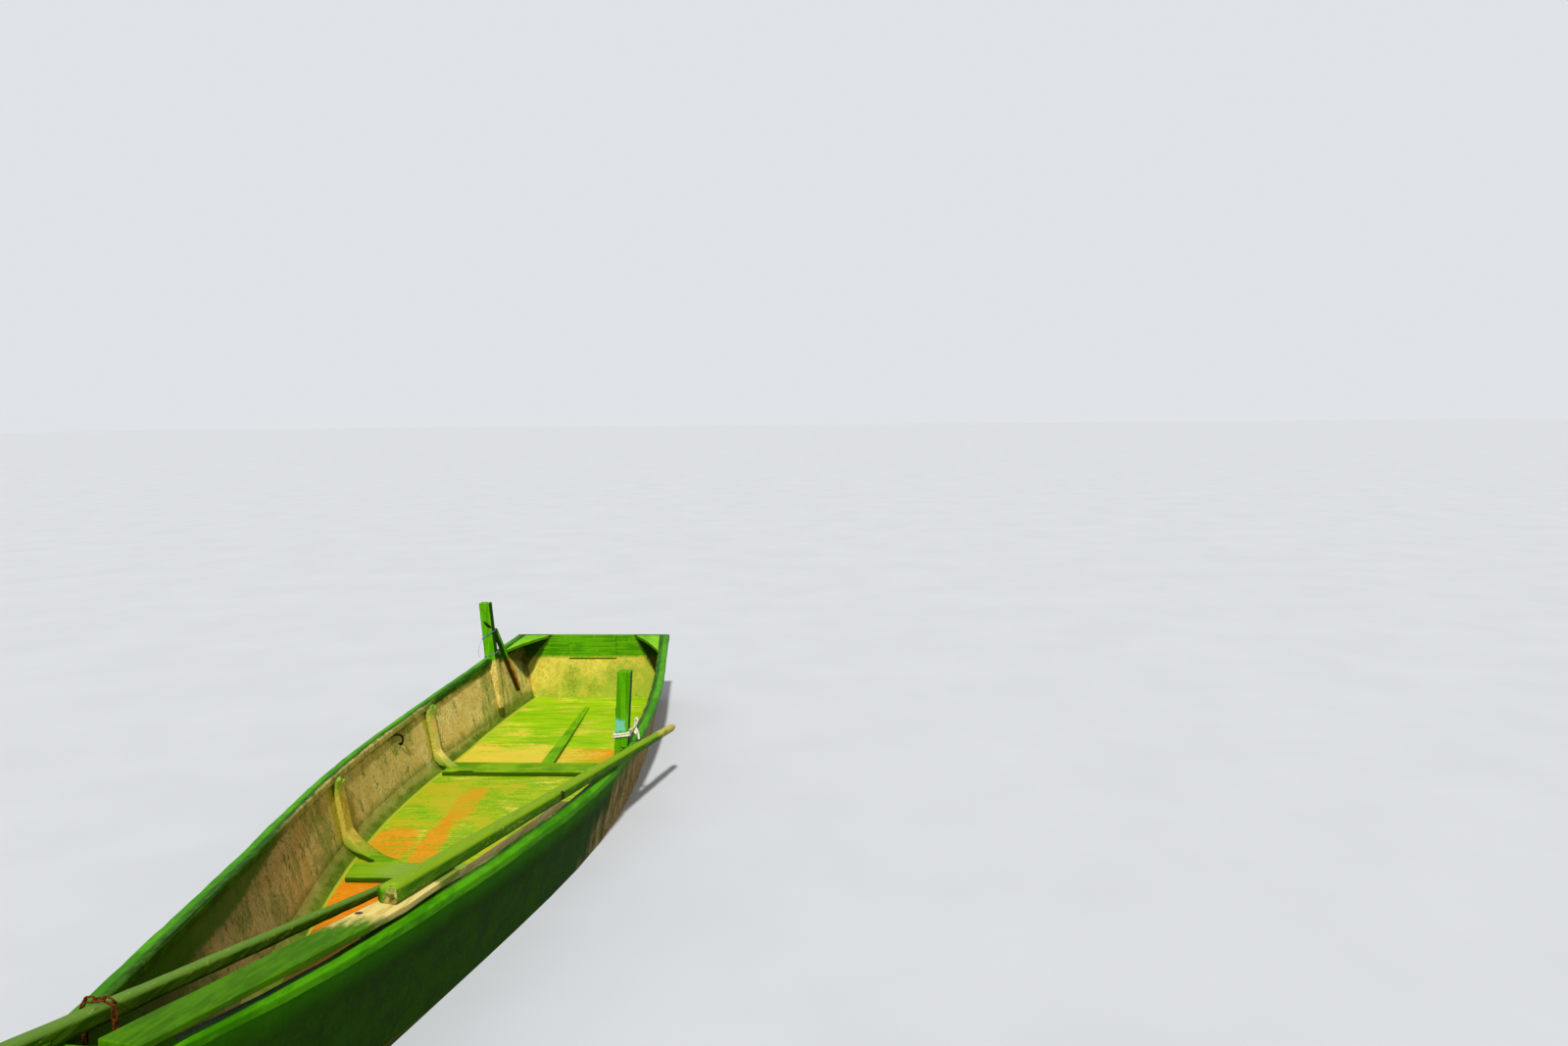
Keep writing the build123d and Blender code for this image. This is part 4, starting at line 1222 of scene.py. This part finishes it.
def make_lashings():
    """White rope round the port post, with its ends; two cords and a thread on the other."""
    white = turns_round("oar_post_port", height=0.404, radius=0.0048, rise=0.0105, lean=0.10)
    strand("white_lashing", white + ROPE_ENDS, ROPE_R, ROPE)
    for name, height, rise, lean in CORDS:
        wound = turns_round("oar_post_starboard", height, CORD_R, rise, lean)
        strand(name, wound, CORD_R, CORD)
    strand("loose_thread", THREAD_WAY, THREAD_R, THREAD)


def make_lath():
    """The loose lath that lies bent along the inside of the port gunwale."""
    side = clean_copy(("gunwale_port", "side_port"))
    inboard = BVHTree.FromBMesh(side)
    side.free()
    sections = []
    for number in range(LATH_CUTS + 1):
        x = LATH_FORE + (LATH_AFT - LATH_FORE) * number / LATH_CUTS
        top = SHEER_LOW + SHEER_RISE * (x - SHEER_PLACE) ** 2 - LATH_BELOW
        outer = inboard.ray_cast(Vector((x, 0, top)), Vector((0, 1, 0)))[0].y - LATH_GAP
        inner = outer - LATH_W
        foot = top - LATH_T
        sections.append([(x, outer, top), (x, inner, top), (x, inner, foot), (x, outer, foot)])
    made = bmesh.new()
    made.faces.new([made.verts.new(corner) for corner in sections[0]])
    edges = made.edges[:]
    for section in sections[1:]:
        grown = bmesh.ops.extrude_edge_only(made, edges=edges)["geom"]
        edges = edges_of(grown)
        for vert in verts_of(grown):
            nearest = min(section, key=lambda corner: (Vector(corner) - vert.co).length)
            section.remove(nearest)
            vert.co = nearest
    bmesh.ops.contextual_create(made, geom=verts_of(grown))
    bmesh.ops.recalc_face_normals(made, faces=made.faces)
    bmesh.ops.bevel(
        made,
        geom=sharp_edges(made, lengthwise=False),
        offset=LATH_ROUNDING,
        affect="EDGES",
        segments=2,
        profile=0.5,
        material=-1,
    )
    roughen(made, LATH_UNEVEN)
    piece(made, "loose_lath", LATH, "hull")


def make_irons():
    """The hook in the starboard side and the bent nail in the starboard post."""
    strand("side_hook", HOOK_WAY, HOOK_R, DARK_IRON)
    strand("post_nail", NAIL_WAY, NAIL_R, DARK_IRON)


def make_resin():
    """Lumps of resin where the ribs' tops were glassed to the gunwales."""
    made = bmesh.new()
    for x, y, z, long, tall in RESIN_LUMPS:
        for hand in (-1, 1):
            place = Matrix.Translation((x, hand * y, z))
            place = place @ Matrix.Diagonal((long, RESIN_DEPTH, tall, 1))
            bmesh.ops.create_icosphere(made, subdivisions=4, radius=1.0, matrix=place)
    roughen(made, RESIN_UNEVEN, RESIN_WAVES)
    piece(made, "resin_lumps", RESIN, "hull")


def make_stage():
    """A pale floor at the waterline, open where the hull stands in it."""
    hull = ("bottom", "side_port", "side_starboard", "transom", "stem")
    made = bmesh.new()
    ring = [made.verts.new((x, y, WATERLINE)) for x, y in outline(hull, WATERLINE)]
    edges = [made.edges.new((a, b)) for a, b in zip(ring, ring[1:] + ring[:1])]
    for scale in STAGE_STEPS:
        grown = bmesh.ops.extrude_edge_only(made, edges=edges)["geom"]
        edges = edges_of(grown)
        bmesh.ops.scale(made, vec=(scale, scale * STAGE_WIDER, 1), verts=verts_of(grown))
    floor = shape(made, "floor", stage_finish())


def make_lights():
    """One sun, and a level sky that looks pale where it is seen."""
    key = bpy.data.lights.new("key", "SUN")
    key.energy = SUN_ENERGY
    key.angle = SUN_ANGLE
    lamp = add("key", key)
    lamp.rotation_mode = "QUATERNION"
    lamp.rotation_quaternion = SUN_AIM.to_track_quat("-Z", "Y")
    world = bpy.data.worlds.new("world")
    bpy.context.scene.world = world
    world.use_nodes = True
    background = world.node_tree.nodes["Background"]
    background.inputs["Color"].default_value = SKY_COLOUR
    tree = world.node_tree
    feed(tree, background.inputs["Strength"], seen(tree) * (BACKDROP - SKY_STRENGTH) + SKY_STRENGTH)


for name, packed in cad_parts.items():
    packed.data.materials.clear()
    packed.data.materials.append(finish_of(name))
for nodes, *wear in WORN:
    for node in nodes:
        make_worn(node, *wear)
make_glassed()
make_chain()
make_lashings()
make_lath()
make_irons()
make_resin()
make_camera()
make_stage()
make_lights()
bpy.context.scene.view_settings.view_transform = "Standard"
